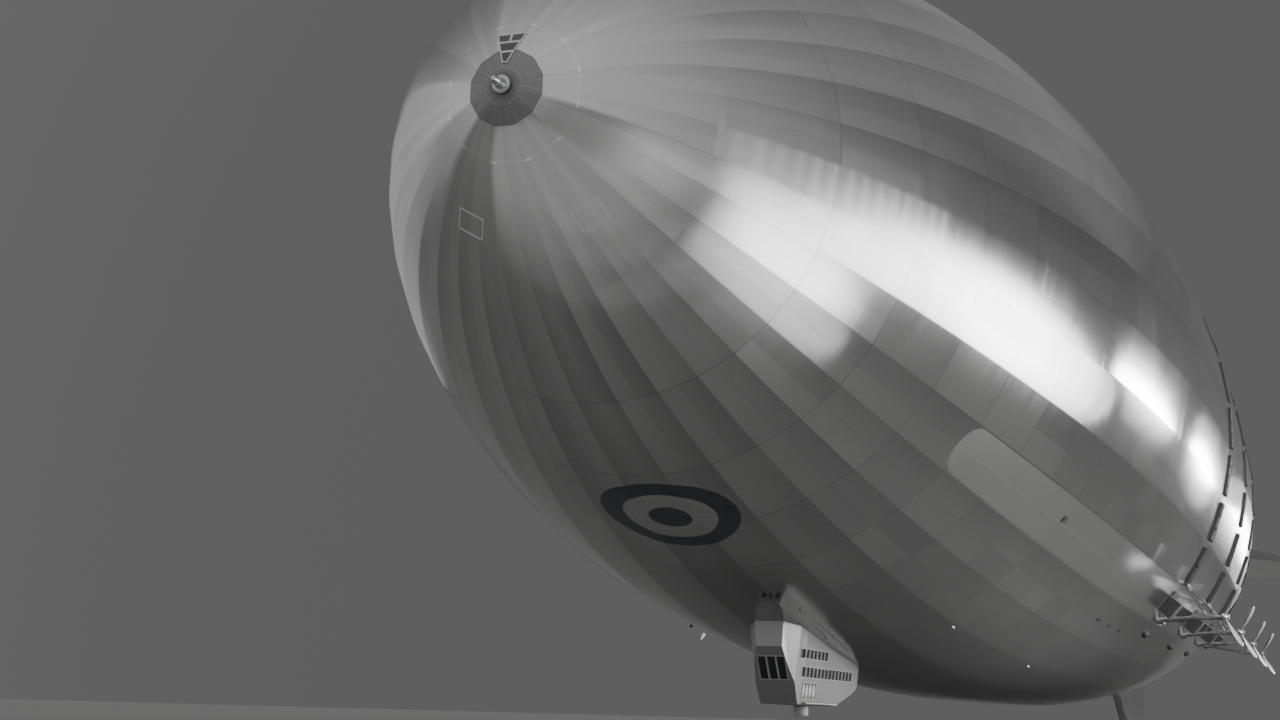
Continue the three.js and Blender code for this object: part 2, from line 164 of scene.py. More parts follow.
class Amount:
    """What a node puts out at each point of a surface. + - * / < > between amounts add Math nodes."""

    def __init__(self, output):
        self.output = output
        self.tree = output.id_data

    __add__ = lambda self, other: calc("ADD", self, other)
    __radd__ = lambda self, other: calc("ADD", other, self)
    __sub__ = lambda self, other: calc("SUBTRACT", self, other)
    __rsub__ = lambda self, other: calc("SUBTRACT", other, self)
    __mul__ = lambda self, other: calc("MULTIPLY", self, other)
    __truediv__ = lambda self, other: calc("DIVIDE", self, other)
    __lt__ = lambda self, other: calc("LESS_THAN", self, other)
    __gt__ = lambda self, other: calc("GREATER_THAN", self, other)
    __abs__ = lambda self: calc("ABSOLUTE", self)


def feed(socket, value):
    """Joins an amount to a socket, or sets the socket to a number or colour."""
    if isinstance(value, Amount):
        value.tree.links.new(value.output, socket)
    else:
        socket.default_value = value


def calc(operation, *values):
    """One Math node; each value is a number or an amount."""
    tree = next(value.tree for value in values if isinstance(value, Amount))
    node = tree.nodes.new("ShaderNodeMath")
    node.operation = operation
    for socket, value in zip(node.inputs, values):
        feed(socket, value)
    return Amount(node.outputs[0])


def between_0_and_1(amount):
    return calc("MAXIMUM", calc("MINIMUM", amount, 1.0), 0.0)


def blend(share, first, second):
    """The first colour where share is 0, the second where it is 1."""
    node = share.tree.nodes.new("ShaderNodeMix")
    node.data_type = "RGBA"
    for socket, value in zip((node.inputs[0], node.inputs[6], node.inputs[7]), (share, first, second)):
        feed(socket, value)
    return Amount(node.outputs[2])


def noise(place, scale, detail=3.0, roughness=0.55):
    node = place.tree.nodes.new("ShaderNodeTexNoise")
    node.inputs["Scale"].default_value = scale
    node.inputs["Detail"].default_value = detail
    node.inputs["Roughness"].default_value = roughness
    feed(node.inputs["Vector"], place)
    return Amount(node.outputs["Fac"])


def near_line(amount, width):
    """1 on the line where an amount is 0, down to 0 at width on either side."""
    return 1.0 - calc("SMOOTH_MIN", abs(amount) / width, 1.0, 0.2)


def place_on(tree):
    """The place on a surface, and its three coordinates."""
    place = Amount(tree.nodes.new("ShaderNodeTexCoord").outputs["Object"])
    split = tree.nodes.new("ShaderNodeSeparateXYZ")
    feed(split.inputs[0], place)
    return place, *(Amount(output) for output in split.outputs)


def hull_coordinates(tree):
    """Place, station, degrees from the top (more than 0 to port, less to starboard) and radius."""
    place, x, y, z = place_on(tree)
    angle = calc("DEGREES", calc("ARCTAN2", y, z))
    return place, NOSE_X - x, angle, calc("SQRT", y * y + z * z)


def put_out(group, **amounts):
    """Gives a node group an output for each amount."""
    for name in amounts:
        group.interface.new_socket(name, in_out="OUTPUT", socket_type="NodeSocketFloat")
    node = group.nodes.new("NodeGroupOutput")
    for name, amount in amounts.items():
        feed(node.inputs[name], amount)


def use_group(tree, group):
    node = tree.nodes.new("ShaderNodeGroup")
    node.node_tree = group
    return {output.name: Amount(output) for output in node.outputs}


def new_paint(name):
    """A new material, its node tree and its shader's sockets."""
    material = bpy.data.materials.new(name)
    material.use_nodes = True
    return material, material.node_tree, material.node_tree.nodes["Principled BSDF"].inputs


def add_relief(sockets, height, distance, strength=1.0):
    bump = height.tree.nodes.new("ShaderNodeBump")
    bump.inputs["Distance"].default_value = distance
    bump.inputs["Strength"].default_value = strength
    feed(bump.inputs["Height"], height)
    feed(sockets["Normal"], Amount(bump.outputs[0]))


cloth = bpy.data.node_groups.new("doped_cloth", "ShaderNodeTree")
place, station, angle, radius = hull_coordinates(cloth)
tile = cloth.nodes.new("ShaderNodeCombineXYZ")
feed(tile.inputs[0], calc("FLOOR", angle / HALF_GORE_DEGREES))
feed(tile.inputs[1], calc("FLOOR", station / CLOTH_LENGTH))
tile_noise = cloth.nodes.new("ShaderNodeTexWhiteNoise")
feed(tile_noise.inputs["Vector"], Amount(tile.outputs[0]))
cross_seam = near_line(calc("PINGPONG", station, CLOTH_LENGTH / 2), CROSS_SEAM)
length_seam = near_line(calc("PINGPONG", angle, HALF_GORE_DEGREES) * (radius * DEGREE), LENGTH_SEAM)
stretched = cloth.nodes.new("ShaderNodeMapping")
stretched.inputs["Scale"].default_value = WEAVE_SCALE
feed(stretched.inputs["Vector"], place)
down_gore = calc("FRACT", (abs(angle) + HALF_GORE_DEGREES) / (2 * HALF_GORE_DEGREES))
put_out(
    cloth,
    tone=Amount(tile_noise.outputs["Value"]) * 0.55 + noise(place, 0.9) * 0.6,
    seams=calc("MAXIMUM", cross_seam * 0.8, length_seam * 0.4) * (station > SEAMS_BEHIND),
    weave=noise(Amount(stretched.outputs[0]), 1.0, 1.0, 0.5),
    slack=between_0_and_1((SLACK_ENDS - station) * 0.7),
    # shade is painted shade across each gore, darkest just below a girder and gone at the next girder down.
    shade=between_0_and_1((station - PAINTED_SHADE_BEGINS) * 2.5) * calc("POWER", 1.0 - down_gore, 1.5),
)


def dope_paint(name, light, dark, add_markings=None):
    material, tree, sockets = new_paint(name)
    sockets["Metallic"].default_value = DOPE_METALLIC
    sockets["Anisotropic"].default_value = DOPE_BRUSHING
    around = tree.nodes.new("ShaderNodeTangent")
    around.direction_type = "RADIAL"
    around.axis = "X"
    feed(sockets["Tangent"], Amount(around.outputs[0]))
    fabric = use_group(tree, cloth)
    colour = blend(fabric["tone"], dark, light)
    colour = blend(fabric["seams"] * 0.55, colour, SEAM_GREY)
    # Painted shade is blended into the dope's colour here.
    colour = blend(fabric["shade"] * 0.45, colour, PAINTED_SHADE_GREY)
    roughness = DOPE_ROUGHNESS + fabric["tone"] * 0.03 + fabric["weave"] * 0.05 + fabric["slack"] * 0.105
    if add_markings:
        colour, roughness = add_markings(tree, colour, roughness)
    feed(sockets["Base Color"], colour)
    feed(sockets["Roughness"], roughness)
    add_relief(sockets, fabric["weave"] * 0.5 - fabric["seams"] * 0.4, 0.0006, 0.5)
    return material


# Markings on the hull cover alone: a pale round-ended panel along a low gore each side, a pale ribbed
# panel at each shoulder, the hoop that laces the cover to the nose ring, and a plain disc on the belly.
PALE_PANEL = {"angle": 130.0, "half_angle": 4.7, "front": 2.44, "back": 8.23, "seams_every": 0.48}
RIBBED_PANEL = {"top": 95.0, "foot": 105.0, "front": 0.475, "back": 1.675, "ribs_every": 0.085}
MAIN_GIRDERS_EVERY = 30.0
HOOP = {"station": 0.097, "half_width": 0.0022, "at_girder": 0.002, "girder_half_angle": 2.2}
DISC = {"station": 1.88, "radius": 0.31, "ring_outer": 0.21, "ring_inner": 0.096}
MARKING_COLOURS = [
    # Marking, how far it covers the dope, colour, how much rougher it is.
    ("pale", 0.75, (0.76, 0.76, 0.75, 1), 0.08),
    ("pale_seams", 0.7, (0.95, 0.95, 0.94, 1), 0),
    ("grid", 0.4, (0.8, 0.8, 0.79, 1), 0.01),
    ("hoop", 0.9, (0.9, 0.9, 0.89, 1), 0),
    ("disc_dark", 0.85, (0.06, 0.07, 0.1, 1), 0.15),
    ("disc_light", 0.9, (0.72, 0.72, 0.7, 1), 0),
]


def hull_markings(tree, colour, roughness):
    group = bpy.data.node_groups.new("hull_markings", "ShaderNodeTree")
    place, station, angle, radius = hull_coordinates(group)
    side_angle = abs(angle)
    across = (side_angle - PALE_PANEL["angle"]) * (radius * DEGREE)
    half_width = radius * (PALE_PANEL["half_angle"] * DEGREE)
    ahead = calc("MAXIMUM", half_width + PALE_PANEL["front"] - station, 0.0)
    reach = calc("SQRT", across * across + ahead * ahead)
    pale = (reach < half_width) * (station < PALE_PANEL["back"])
    cross_seams = near_line(calc("PINGPONG", station, PALE_PANEL["seams_every"] / 2), 0.004)
    in_gore = (side_angle > RIBBED_PANEL["top"]) * (side_angle < RIBBED_PANEL["foot"])
    in_bays = (station > RIBBED_PANEL["front"]) * (station < RIBBED_PANEL["back"])
    half_rib = RIBBED_PANEL["ribs_every"] / 2
    ribs = calc("PINGPONG", station, half_rib) * (1 / half_rib)
    half_bay = MAIN_GIRDERS_EVERY / 2
    crossing = calc("PINGPONG", side_angle + half_bay, half_bay) < HOOP["girder_half_angle"]
    hoop = near_line(station - HOOP["station"], HOOP["half_width"] + crossing * HOOP["at_girder"])
    behind_disc = station - DISC["station"]
    from_keel = (180.0 - side_angle) * (radius * DEGREE)
    from_disc = calc("SQRT", behind_disc * behind_disc + from_keel * from_keel)
    put_out(
        group,
        pale=pale,
        pale_seams=pale * calc("MAXIMUM", near_line(across, 0.004), cross_seams),
        grid=in_gore * in_bays * (ribs * 0.6 + 0.4),
        hoop=hoop * (0.3 + crossing * 0.7),
        disc_dark=from_disc < DISC["radius"],
        disc_light=(from_disc < DISC["ring_outer"]) * (from_disc > DISC["ring_inner"]),
    )
    markings = use_group(tree, group)
    for marking, cover, paint, rougher in MARKING_COLOURS:
        colour = blend(markings[marking] * cover, colour, paint)
        if rougher:
            roughness = roughness + markings[marking] * rougher
    return colour, roughness


hull_dope = dope_paint("hull_dope", DOPE_LIGHT, DOPE_DARK, hull_markings)
tail_dope = dope_paint("tail_dope", DOPE_LIGHT, DOPE_DARK)
tape_dope = dope_paint("tape_dope", DOPE_LIGHT, (0.56, 0.56, 0.56, 1))

# Hull cover: cotton laced over thirty-six lengthwise girders, drawn in along the gores at the bow and
# rounder aft. Each main ring ends a section, and a cloth lap strip is doped down over every girder.
# Ahead of the first main rings only every third girder reaches the nose.
HULL_LENGTH = NOSE_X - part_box("tail_cone")[0][0]
HULL_RADIUS = 2.025
FORE_BODY = 0.4 * HULL_LENGTH
FORE_FULLNESS = 3.14
FORE_ROUNDING = 1.7
AFT_FULLNESS = 2.8
GORES = 36
HALF_GORE = HALF_GORE_DEGREES * DEGREE
# Station, and how far a half gore's middle bulges out (or, below 0, is drawn in), in degrees.
GORE_BULGE = [
    (0.0, 2.5), (0.12, 2.5), (0.45, -1.0), (0.8, -0.9), (1.1, 0.2), (1.675, 0.5), (2.6, 0.8), (3.8, 1.0),
    (30.0, 1.0),
]
LAP_WIDTH = 0.013
NOSE_RING = 0.095
GIRDERS_FULL = 0.475
SHARP_RIDGES_TO = 1.7
COVER_SECTIONS = [
    # Node, number of ring bays, and how far the bays crowd towards the front.
    ("hull_bow", 30, 1.9),
    ("hull_fore_1", 20, 1.0),
    ("hull_fore_2", 12, 1.0),
    ("hull_mid_1", 16, 1.0),
    ("hull_mid_2", 16, 1.0),
    ("hull_aft_1", 16, 1.0),
    ("hull_aft_2", 10, 1.0),
    ("tail_cone", 24, 1.0),
]


def hull_radius(station):
    ahead = max(0.0, (FORE_BODY - station) / FORE_BODY)
    behind = min(1.0, max(0.0, (station - FORE_BODY) / (HULL_LENGTH - FORE_BODY)))
    fore = max(0.0, 1 - ahead**FORE_FULLNESS) ** (1 / FORE_ROUNDING)
    return HULL_RADIUS * fore * (1 - behind**AFT_FULLNESS)


def mid_gore_share(station):
    """Radius along the middle of a gore, as a share of the radius over the girders."""
    for (before, low), (after, high) in zip(GORE_BULGE, GORE_BULGE[1:]):
        if station < after:
            break
    bulge = low + (high - low) * (station - before) / (after - before)
    return math.cos(HALF_GORE) + math.sin(HALF_GORE) * math.tan(math.radians(bulge))


def deselect_all():
    if bpy.context.object and bpy.context.object.mode == "EDIT":
        bpy.ops.object.mode_set(mode="OBJECT")
    bpy.ops.object.select_all(action="DESELECT")


def start_edit():
    bpy.ops.object.mode_set(mode="EDIT")


def end_edit():
    bpy.ops.object.mode_set(mode="OBJECT")


def select_all():
    bpy.ops.mesh.select_all(action="SELECT")


def edit_all():
    start_edit()
    select_all()


def face_out():
    """Turns all faces to look outwards, and ends the edit."""
    select_all()
    bpy.ops.mesh.normals_make_consistent(inside=False)
    end_edit()


def draw_out(*by):
    """Extrudes what is selected by a distance along X, Y and Z."""
    bpy.ops.mesh.extrude_region_move(TRANSFORM_OT_translate={"value": by})


def scale_about(centre, *factors):
    bpy.ops.transform.resize(value=factors, center_override=centre)


def select_parts(piece, kind, wanted):
    """In edit mode, selects only the vertices, edges or faces of a piece that wanted() accepts."""
    start_edit()
    bpy.ops.mesh.select_mode(type={"vertices": "VERT", "edges": "EDGE", "polygons": "FACE"}[kind])
    bpy.ops.mesh.select_all(action="DESELECT")
    end_edit()
    for part in getattr(piece.data, kind):
        part.select = wanted(part)
    start_edit()


def angle_of(point):
    """Whole degrees from the top, 0 to 359."""
    return round(math.degrees(math.atan2(point.y, point.z))) % 360


def cover_section(name, stations):
    """One section of the cover, drawn ring by ring from its front main ring to its rear one."""
    deselect_all()
    bpy.ops.mesh.primitive_circle_add(vertices=2 * GORES, radius=hull_radius(stations[0]))
    section = bpy.context.object
    section.name = name
    section.rotation_euler = (0, math.radians(90), 0)
    section.location = (NOSE_X - stations[0], 0, 0)
    bpy.ops.object.transform_apply()
    start_edit()
    bpy.ops.mesh.select_mode(type="EDGE")
    select_all()
    for before, station in zip(stations, stations[1:]):
        draw_out(before - station, 0, 0)
        shrink = max(hull_radius(station), 1e-4) / hull_radius(before)
        scale_about((NOSE_X - station, 0, 0), 1, shrink, shrink)
    for station in stations:
        share = mid_gore_share(station)
        pull_in(section, station, share, lambda angle: angle % 10 == 0)
        if station < GIRDERS_FULL:
            pull_to_nose_polygon(section, station)

    def is_ridge(edge):
        first, second = (section.data.vertices[i].co for i in edge.vertices)
        return abs(first.x - second.x) > 1e-5 and angle_of(first) % 10 == 5 and angle_of(second) % 10 == 5

    select_parts(section, "edges", is_ridge)
    bpy.ops.mesh.bevel(offset=LAP_WIDTH / 2, offset_type="OFFSET", segments=1, affect="EDGES", material=1)
    face_out()
    section.data.materials.append(hull_dope)
    section.data.materials.append(tape_dope)
    bpy.ops.object.shade_smooth()
    if stations[-1] < SHARP_RIDGES_TO:
        start_edit()
        bpy.ops.mesh.select_mode(type="FACE")
        bpy.ops.mesh.select_all(action="DESELECT")
        section.active_material_index = 1
        bpy.ops.object.material_slot_select()
        bpy.ops.mesh.region_to_loop()
        bpy.ops.mesh.mark_sharp()
        end_edit()
    return section


def pull_in(section, station, share, at_angle):
    """Draws the points of one ring at certain angles in to a share of their radius."""
    def is_here(vertex):
        return abs(vertex.co.x - NOSE_X + station) < 1e-4 and at_angle(angle_of(vertex.co))

    select_parts(section, "vertices", is_here)
    scale_about((0, 0, 0), 1, share, share)


def pull_to_nose_polygon(section, station):
    """Draws the girders between every third one in, to a hull of twelve sides at the nose ring."""
    along = max(0.0, (station - NOSE_RING) / (GIRDERS_FULL - NOSE_RING))
    share = 1 - along**2 * (3 - 2 * along)
    for off_ridge in (5, 10, 15):
        chord = math.cos(math.radians(15)) / math.cos(math.radians(15 - off_ridge))
        inward = 1 + share * (chord - 1)
        pull_in(section, station, inward, lambda angle: abs(angle % 30 - 15) == off_ridge)


def even_stations(node, rings, crowding=1.0):
    low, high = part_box(node)
    front, back = NOSE_X - high[0], NOSE_X - low[0]
    return [front + (back - front) * (k / rings) ** crowding for k in range(rings + 1)]


for node, rings, crowding in COVER_SECTIONS:
    section = cover_section("cover_" + node.replace("hull_", ""), even_stations(node, rings, crowding))
    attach(section, "hull")
    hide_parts(node)

# Nose cap and mooring cone: a dark bare metal cap of rolled plates over the nose ring, and on it the
# turned spindle that the ship is moored by, bolted on through a round flange.
CAP_STATIONS = [0.0012, 0.0028, 0.005, 0.009, 0.014, 0.020, 0.027, 0.03485]
CAP_PLATE_DEGREES = 15.0
CAP_RING_RADIUS = 0.072
SPINDLE = [
    # Distance ahead of the cap, radius.
    (0.0003, 0.034), (0.010, 0.034), (0.012, 0.031), (0.013, 0.022), (0.020, 0.020), (0.046, 0.0175),
    (0.048, 0.0145), (0.052, 0.0135), (0.054, 0.0155), (0.060, 0.0140), (0.070, 0.0105), (0.0766, 0.0080),
]
SPINDLE_SIDES = 36
FLANGE_BOLTS = {"count": 12, "circle": 0.0275, "ahead": 0.0125, "radius": 0.0022, "length": 0.003}


def worn_metal(name, colour, worn, metallic, roughness, grain=40.0):
    """Metal or metal paint with cloudy wear, fine scratches and a slightly uneven skin."""
    material, tree, sockets = new_paint(name)
    sockets["Metallic"].default_value = metallic
    place = Amount(tree.nodes.new("ShaderNodeTexCoord").outputs["Object"])
    wear = noise(place, grain / 8, 4.0, 0.6) * 0.7 + noise(place, grain * 6, 5.0, 0.7) * 0.3
    feed(sockets["Base Color"], blend(wear, worn, colour))
    feed(sockets["Roughness"], roughness - 0.1 + wear * 0.2)
    add_relief(sockets, wear, 0.0004, 0.3)
    return material


def draw_lines(sockets, lines, cover, paint):
    """Paints lines over the colour that a material has so far."""
    colour = Amount(sockets["Base Color"].links[0].from_socket)
    feed(sockets["Base Color"], blend(lines * cover, colour, paint))


def repaint(piece, material):
    piece.data.materials.clear()
    piece.data.materials.append(material)


def finish_piece(piece, name, material, body="hull", bend=None):
    """Names a piece, gives it its material and slot, and fixes it to a body."""
    piece.name = name
    piece.data.name = name
    if material:
        repaint(piece, material)
    deselect_all()
    piece.select_set(True)
    bpy.context.view_layer.objects.active = piece
    bpy.ops.object.transform_apply()
    if bend is not None:
        bpy.ops.object.shade_smooth_by_angle(angle=math.radians(bend))
    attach(piece, body)
    return piece


def bolt_circle(bolts, first=0.0):
    """The two coordinates of each bolt about the middle of its circle."""
    turns = [2 * math.pi * (k + first) / bolts["count"] for k in range(bolts["count"])]
    return [(bolts["circle"] * math.cos(turn), bolts["circle"] * math.sin(turn)) for turn in turns]


cap_metal = worn_metal("cap_metal", (0.27, 0.27, 0.275, 1), (0.19, 0.19, 0.195, 1), 0.8, 0.42)
cap_sockets = cap_metal.node_tree.nodes["Principled BSDF"].inputs
place, station, angle, radius = hull_coordinates(cap_metal.node_tree)
half_plate = CAP_PLATE_DEGREES / 2
plate_edges = near_line(calc("PINGPONG", angle + half_plate, half_plate) * (radius * DEGREE), 0.0015)
plate_lines = calc("MAXIMUM", plate_edges, near_line(radius - CAP_RING_RADIUS, 0.0016))
draw_lines(cap_sockets, plate_lines, 0.5, (0.42, 0.42, 0.42, 1))
cap = cover_section("nose_cap_plates", CAP_STATIONS)
finish_piece(cap, "nose_cap_plates", cap_metal, bend=14)
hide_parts("nose_cap")

bright_alloy = worn_metal("bright_alloy", (0.62, 0.63, 0.64, 1), (0.42, 0.42, 0.43, 1), 0.9, 0.34)
deselect_all()
bpy.ops.mesh.primitive_cylinder_add(vertices=SPINDLE_SIDES, radius=SPINDLE[0][1], depth=0.0002)
spindle = bpy.context.object
spindle.location = (0, 0, SPINDLE[0][0])
bpy.ops.object.transform_apply()
select_parts(spindle, "polygons", lambda face: face.normal.z > 0.9)
for (before, wide), (ahead, narrow) in zip(SPINDLE, SPINDLE[1:]):
    draw_out(0, 0, ahead - before)
    scale_about((0, 0, ahead), narrow / wide, narrow / wide, 1)
end_edit()
spindle.rotation_euler = (0, math.radians(90), 0)
spindle.location = (NOSE_X, 0, 0)
finish_piece(spindle, "mooring_spindle", bright_alloy, bend=35)
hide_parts("mooring_cone")

for number, (y, z) in enumerate(bolt_circle(FLANGE_BOLTS), 1):
    deselect_all()
    bpy.ops.mesh.primitive_cylinder_add(
        vertices=6,
        radius=FLANGE_BOLTS["radius"],
        depth=FLANGE_BOLTS["length"],
        location=(NOSE_X + FLANGE_BOLTS["ahead"], y, z),
        rotation=(0, math.radians(90), 0),
    )
    finish_piece(bpy.context.object, f"flange_bolt_{number}", bright_alloy, bend=30)

# Nose window: four dark panes in a light metal frame that narrows downwards, laid on the skin over
# the top edge of the nose cap to look out ahead.
WINDOW = {"top": 0.216, "foot": 0.088, "half_width": 0.058, "foot_share": 0.17, "bar": 0.0045}
WINDOW_CROSS_BARS = (0.178, 0.135)
WINDOW_PROUD = 0.0035
WINDOW_THICKNESS = 0.003
light_frame = worn_metal("light_frame", (0.72, 0.72, 0.71, 1), (0.55, 0.55, 0.54, 1), 0.35, 0.45)
dark_glass, glass_tree, glass_sockets = new_paint("dark_glass")
glass_sockets["Metallic"].default_value = 0.0
glass_sockets["Coat Weight"].default_value = 0.6
smears = noise(Amount(glass_tree.nodes.new("ShaderNodeTexCoord").outputs["Object"]), 25.0)
feed(glass_sockets["Roughness"], 0.06 + smears * 0.12)
feed(glass_sockets["Base Color"], blend(smears, (0.018, 0.02, 0.023, 1), (0.04, 0.043, 0.047, 1)))


def flat_face(length, width, place=(0, 0, 0)):
    """A flat face along X and Y, to be shaped."""
    deselect_all()
    bpy.ops.mesh.primitive_plane_add(size=1)
    face = bpy.context.object
    face.scale = (length, width, 1)
    face.location = place
    bpy.ops.object.transform_apply()
    return face


def modify(piece, kind, **settings):
    """Adds one modifier with its settings to the active piece and applies it."""
    modifier = piece.modifiers.new("shaping", kind)
    for setting, value in settings.items():
        setattr(modifier, setting, value)
    bpy.ops.object.modifier_apply(modifier="shaping")


window_height = WINDOW["top"] - WINDOW["foot"]
window_middle = (WINDOW["top"] + WINDOW["foot"]) / 2
window = flat_face(2 * WINDOW["half_width"], window_height, (0, window_middle, 0))
select_parts(window, "vertices", lambda vertex: vertex.co.y < WINDOW["foot"] + 0.001)
scale_about((0, 0, 0), WINDOW["foot_share"], 1, 1)
for level in WINDOW_CROSS_BARS:
    select_all()
    bpy.ops.mesh.bisect(plane_co=(0, level, 0), plane_no=(0, 1, 0))
select_parts(window, "polygons", lambda face: face.center.y > WINDOW_CROSS_BARS[0])
bpy.ops.mesh.bisect(plane_co=(0, 0, 0), plane_no=(1, 0, 0))
select_all()
bpy.ops.mesh.inset(thickness=WINDOW["bar"], use_individual=True)
end_edit()
window.data.materials.append(light_frame)
window.data.materials.append(dark_glass)
window.active_material_index = 1
start_edit()
bpy.ops.object.material_slot_assign()
select_all()
bpy.ops.mesh.subdivide(number_cuts=3)
end_edit()
window.rotation_euler = (math.radians(90), 0, math.radians(90))
window.location = (NOSE_X + 0.05, 0, 0)
bpy.ops.object.transform_apply()
bpy.context.view_layer.update()
modify(
    window,
    "SHRINKWRAP",
    wrap_method="PROJECT",
    use_project_x=True,
    use_negative_direction=True,
    use_positive_direction=False,
    target=bpy.data.objects["cover_bow"],
    auxiliary_target=cap,
    offset=WINDOW_PROUD,
)
modify(window, "SOLIDIFY", thickness=WINDOW_THICKNESS, offset=-1)
finish_piece(window, "nose_window", None, bend=30)

# Fittings on the skin: a hatch frame under the bow, slots and domed ports along the belly.
# They are light pressed metal, screwed to the girders through the cover.
HATCH = {"station": 0.278, "angle": 150.5, "length": 0.095, "width": 0.115, "bar": 0.0035}
HATCH_START = 0.004
HATCH_PROUD = 0.0022
HATCH_THICKNESS = 0.0025
FITTING_LIFT = 0.0005
# A slot's rim as a share of its width, and how deep it is as a share of its height.
SLOT = {"rim": 0.12, "depth": 0.7}
# In a ball of diameter 1: where a dome is cut off, and its skirt's depth and flare.
DOME = {"cut": -0.1, "skirt": 0.2, "flare": 1.25}
SKIN_FITTINGS = [
    # Name, station, angle, length along the ship, width, height, kind.
    ("panel_port_fore", 4.04, 129.2, 0.055, 0.035, 0.002, "slot"),
    ("panel_port_aft", 7.9, 130.6, 0.09, 0.008, 0.002, "slot"),
    ("belly_slot_1", 6.43, 140.0, 0.10, 0.020, 0.002, "slot"),
    ("belly_slot_2", 6.93, 140.0, 0.10, 0.020, 0.002, "slot"),
    ("belly_slot_3", 7.47, 140.0, 0.10, 0.020, 0.002, "slot"),
    ("engine_port_1", 8.68, 138.0, 0.060, 0.060, 0.022, "dark dome"),
    ("engine_port_2", 10.86, 138.0, 0.060, 0.060, 0.022, "dark dome"),
    ("engine_port_3", 13.02, 138.0, 0.060, 0.060, 0.022, "dark dome"),
    ("line_fitting_1", 4.35, 156.0, 0.040, 0.026, 0.010, "bright dome"),
    ("line_fitting_2", 6.53, 156.0, 0.040, 0.026, 0.010, "bright dome"),
]
slot_dark = worn_metal("slot_dark", (0.035, 0.035, 0.037, 1), (0.06, 0.06, 0.06, 1), 0.2, 0.6)


def skin_radius(station, angle):
    """Radius of the cover between its girders, which lie at 5, 15, 25 degrees and so on."""
    from_girder = abs(angle % 10 - 5) / 5
    return hull_radius(station) * (1 - from_girder * (1 - mid_gore_share(station)))


def onto_skin(piece, station, angle, lift=0.0):
    """Puts a piece that is modelled on the XY plane, facing +Z, onto the skin; its +X stays forward."""
    slope = math.atan2(hull_radius(station + 0.01) - hull_radius(station - 0.01), 0.02)
    turn = math.radians(angle)
    out = skin_radius(station, angle) + lift
    piece.rotation_mode = "YXZ"
    piece.rotation_euler = (-turn, slope, 0)
    piece.location = (NOSE_X - station, out * math.sin(turn), out * math.cos(turn))
    bpy.ops.object.transform_apply()


def copy_of(piece):
    twin = piece.copy()
    twin.data = piece.data.copy()
    bpy.context.collection.objects.link(twin)
    return twin


def mirrored(piece):
    """A twin with its own mesh on the other side of the ship's middle."""
    deselect_all()
    twin = copy_of(piece)
    twin.parent = None
    twin.select_set(True)
    bpy.context.view_layer.objects.active = twin
    edit_all()
    scale_about((0, 0, 0), 1, -1, 1)
    bpy.ops.mesh.flip_normals()
    end_edit()
    return twin


def mirror_to_starboard(piece, name, body="hull"):
    """The starboard twin of a finished port piece."""
    twin = mirrored(piece)
    twin.name = name
    twin.data.name = name
    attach(twin, body)
    return twin


def fit_both_sides(piece, port_name, starboard_name, material, bend=None):
    """Finishes a port piece and returns its starboard twin."""
    finish_piece(piece, port_name, material, bend=bend)
    return mirror_to_starboard(piece, starboard_name)


def join_pieces(pieces, name):
    deselect_all()
    for piece in pieces:
        piece.select_set(True)
    bpy.context.view_layer.objects.active = pieces[0]
    bpy.ops.object.join()
    joined = bpy.context.object
    joined.name = name
    return joined


hatch = flat_face(HATCH["length"], HATCH["width"])
edit_all()
bpy.ops.mesh.inset(thickness=HATCH["bar"])
bpy.ops.mesh.delete(type="FACE")
select_all()
bpy.ops.mesh.subdivide(number_cuts=5)
end_edit()
onto_skin(hatch, HATCH["station"], HATCH["angle"], HATCH_START)
bow_cover = bpy.data.objects["cover_bow"]
modify(hatch, "SHRINKWRAP", wrap_method="NEAREST_SURFACEPOINT", target=bow_cover, offset=HATCH_PROUD)
modify(hatch, "SOLIDIFY", thickness=HATCH_THICKNESS)
fit_both_sides(hatch, "bow_hatch_frame_port", "bow_hatch_frame_starboard", light_frame, 30)

for name, station, angle, length, width, height, kind in SKIN_FITTINGS:
    if kind == "slot":
        fitting = flat_face(length, width)
        start_edit()
        draw_out(0, 0, height)
        bpy.ops.mesh.inset(thickness=width * SLOT["rim"])
        bpy.ops.transform.translate(value=(0, 0, -height * SLOT["depth"]))
        end_edit()
    else:
        deselect_all()
        bpy.ops.mesh.primitive_uv_sphere_add(segments=20, ring_count=12, radius=0.5)
        fitting = bpy.context.object
        edit_all()
        at_cut = {"plane_co": (0, 0, DOME["cut"]), "plane_no": (0, 0, 1)}
        bpy.ops.mesh.bisect(clear_inner=True, use_fill=True, **at_cut)
        draw_out(0, 0, -DOME["skirt"])
        scale_about((0, 0, 0), DOME["flare"], DOME["flare"], 1)
        end_edit()
        fitting.scale = (length, width, height * 2)
        bpy.ops.object.transform_apply()
    onto_skin(fitting, station, angle, FITTING_LIFT)
    paint = bright_alloy if kind == "bright dome" else slot_dark
    fit_both_sides(fitting, name, name + "_starboard", paint, 35)

# Condensers: flat black panels up the skin beside each engine, six gores high, which take the water
# out of the exhaust. Each is a tray of small tubes; a short one leads down to the radiator.
ENGINE_STATIONS = [8.467, 10.717, 12.967, 15.217]
CONDENSER_WIDTH = 0.196
CONDENSER_PROUD = 0.0135
GORE_REACH = 8.2
# Angle of the gore's middle and the number of trays over it.
CONDENSER_GORES = [(70, 2), (80, 2), (90, 3), (100, 4), (110, 3), (120, 2)]
TRAY_GAP = 0.003
TRAY_RIM = 0.007
TRAY_SUNK = 0.001
TRAY_DEPTH = 0.009
TUBES = 13
TUBES_INSIDE = 0.016
# A tube's radius as a share of the pitch, and its axis's height as a share of the tray's.
TUBE_RADIUS = 0.46
TUBE_LEVEL = 0.45
cooler_black = worn_metal("cooler_black", (0.022, 0.022, 0.024, 1), (0.05, 0.05, 0.05, 1), 0.25, 0.55)


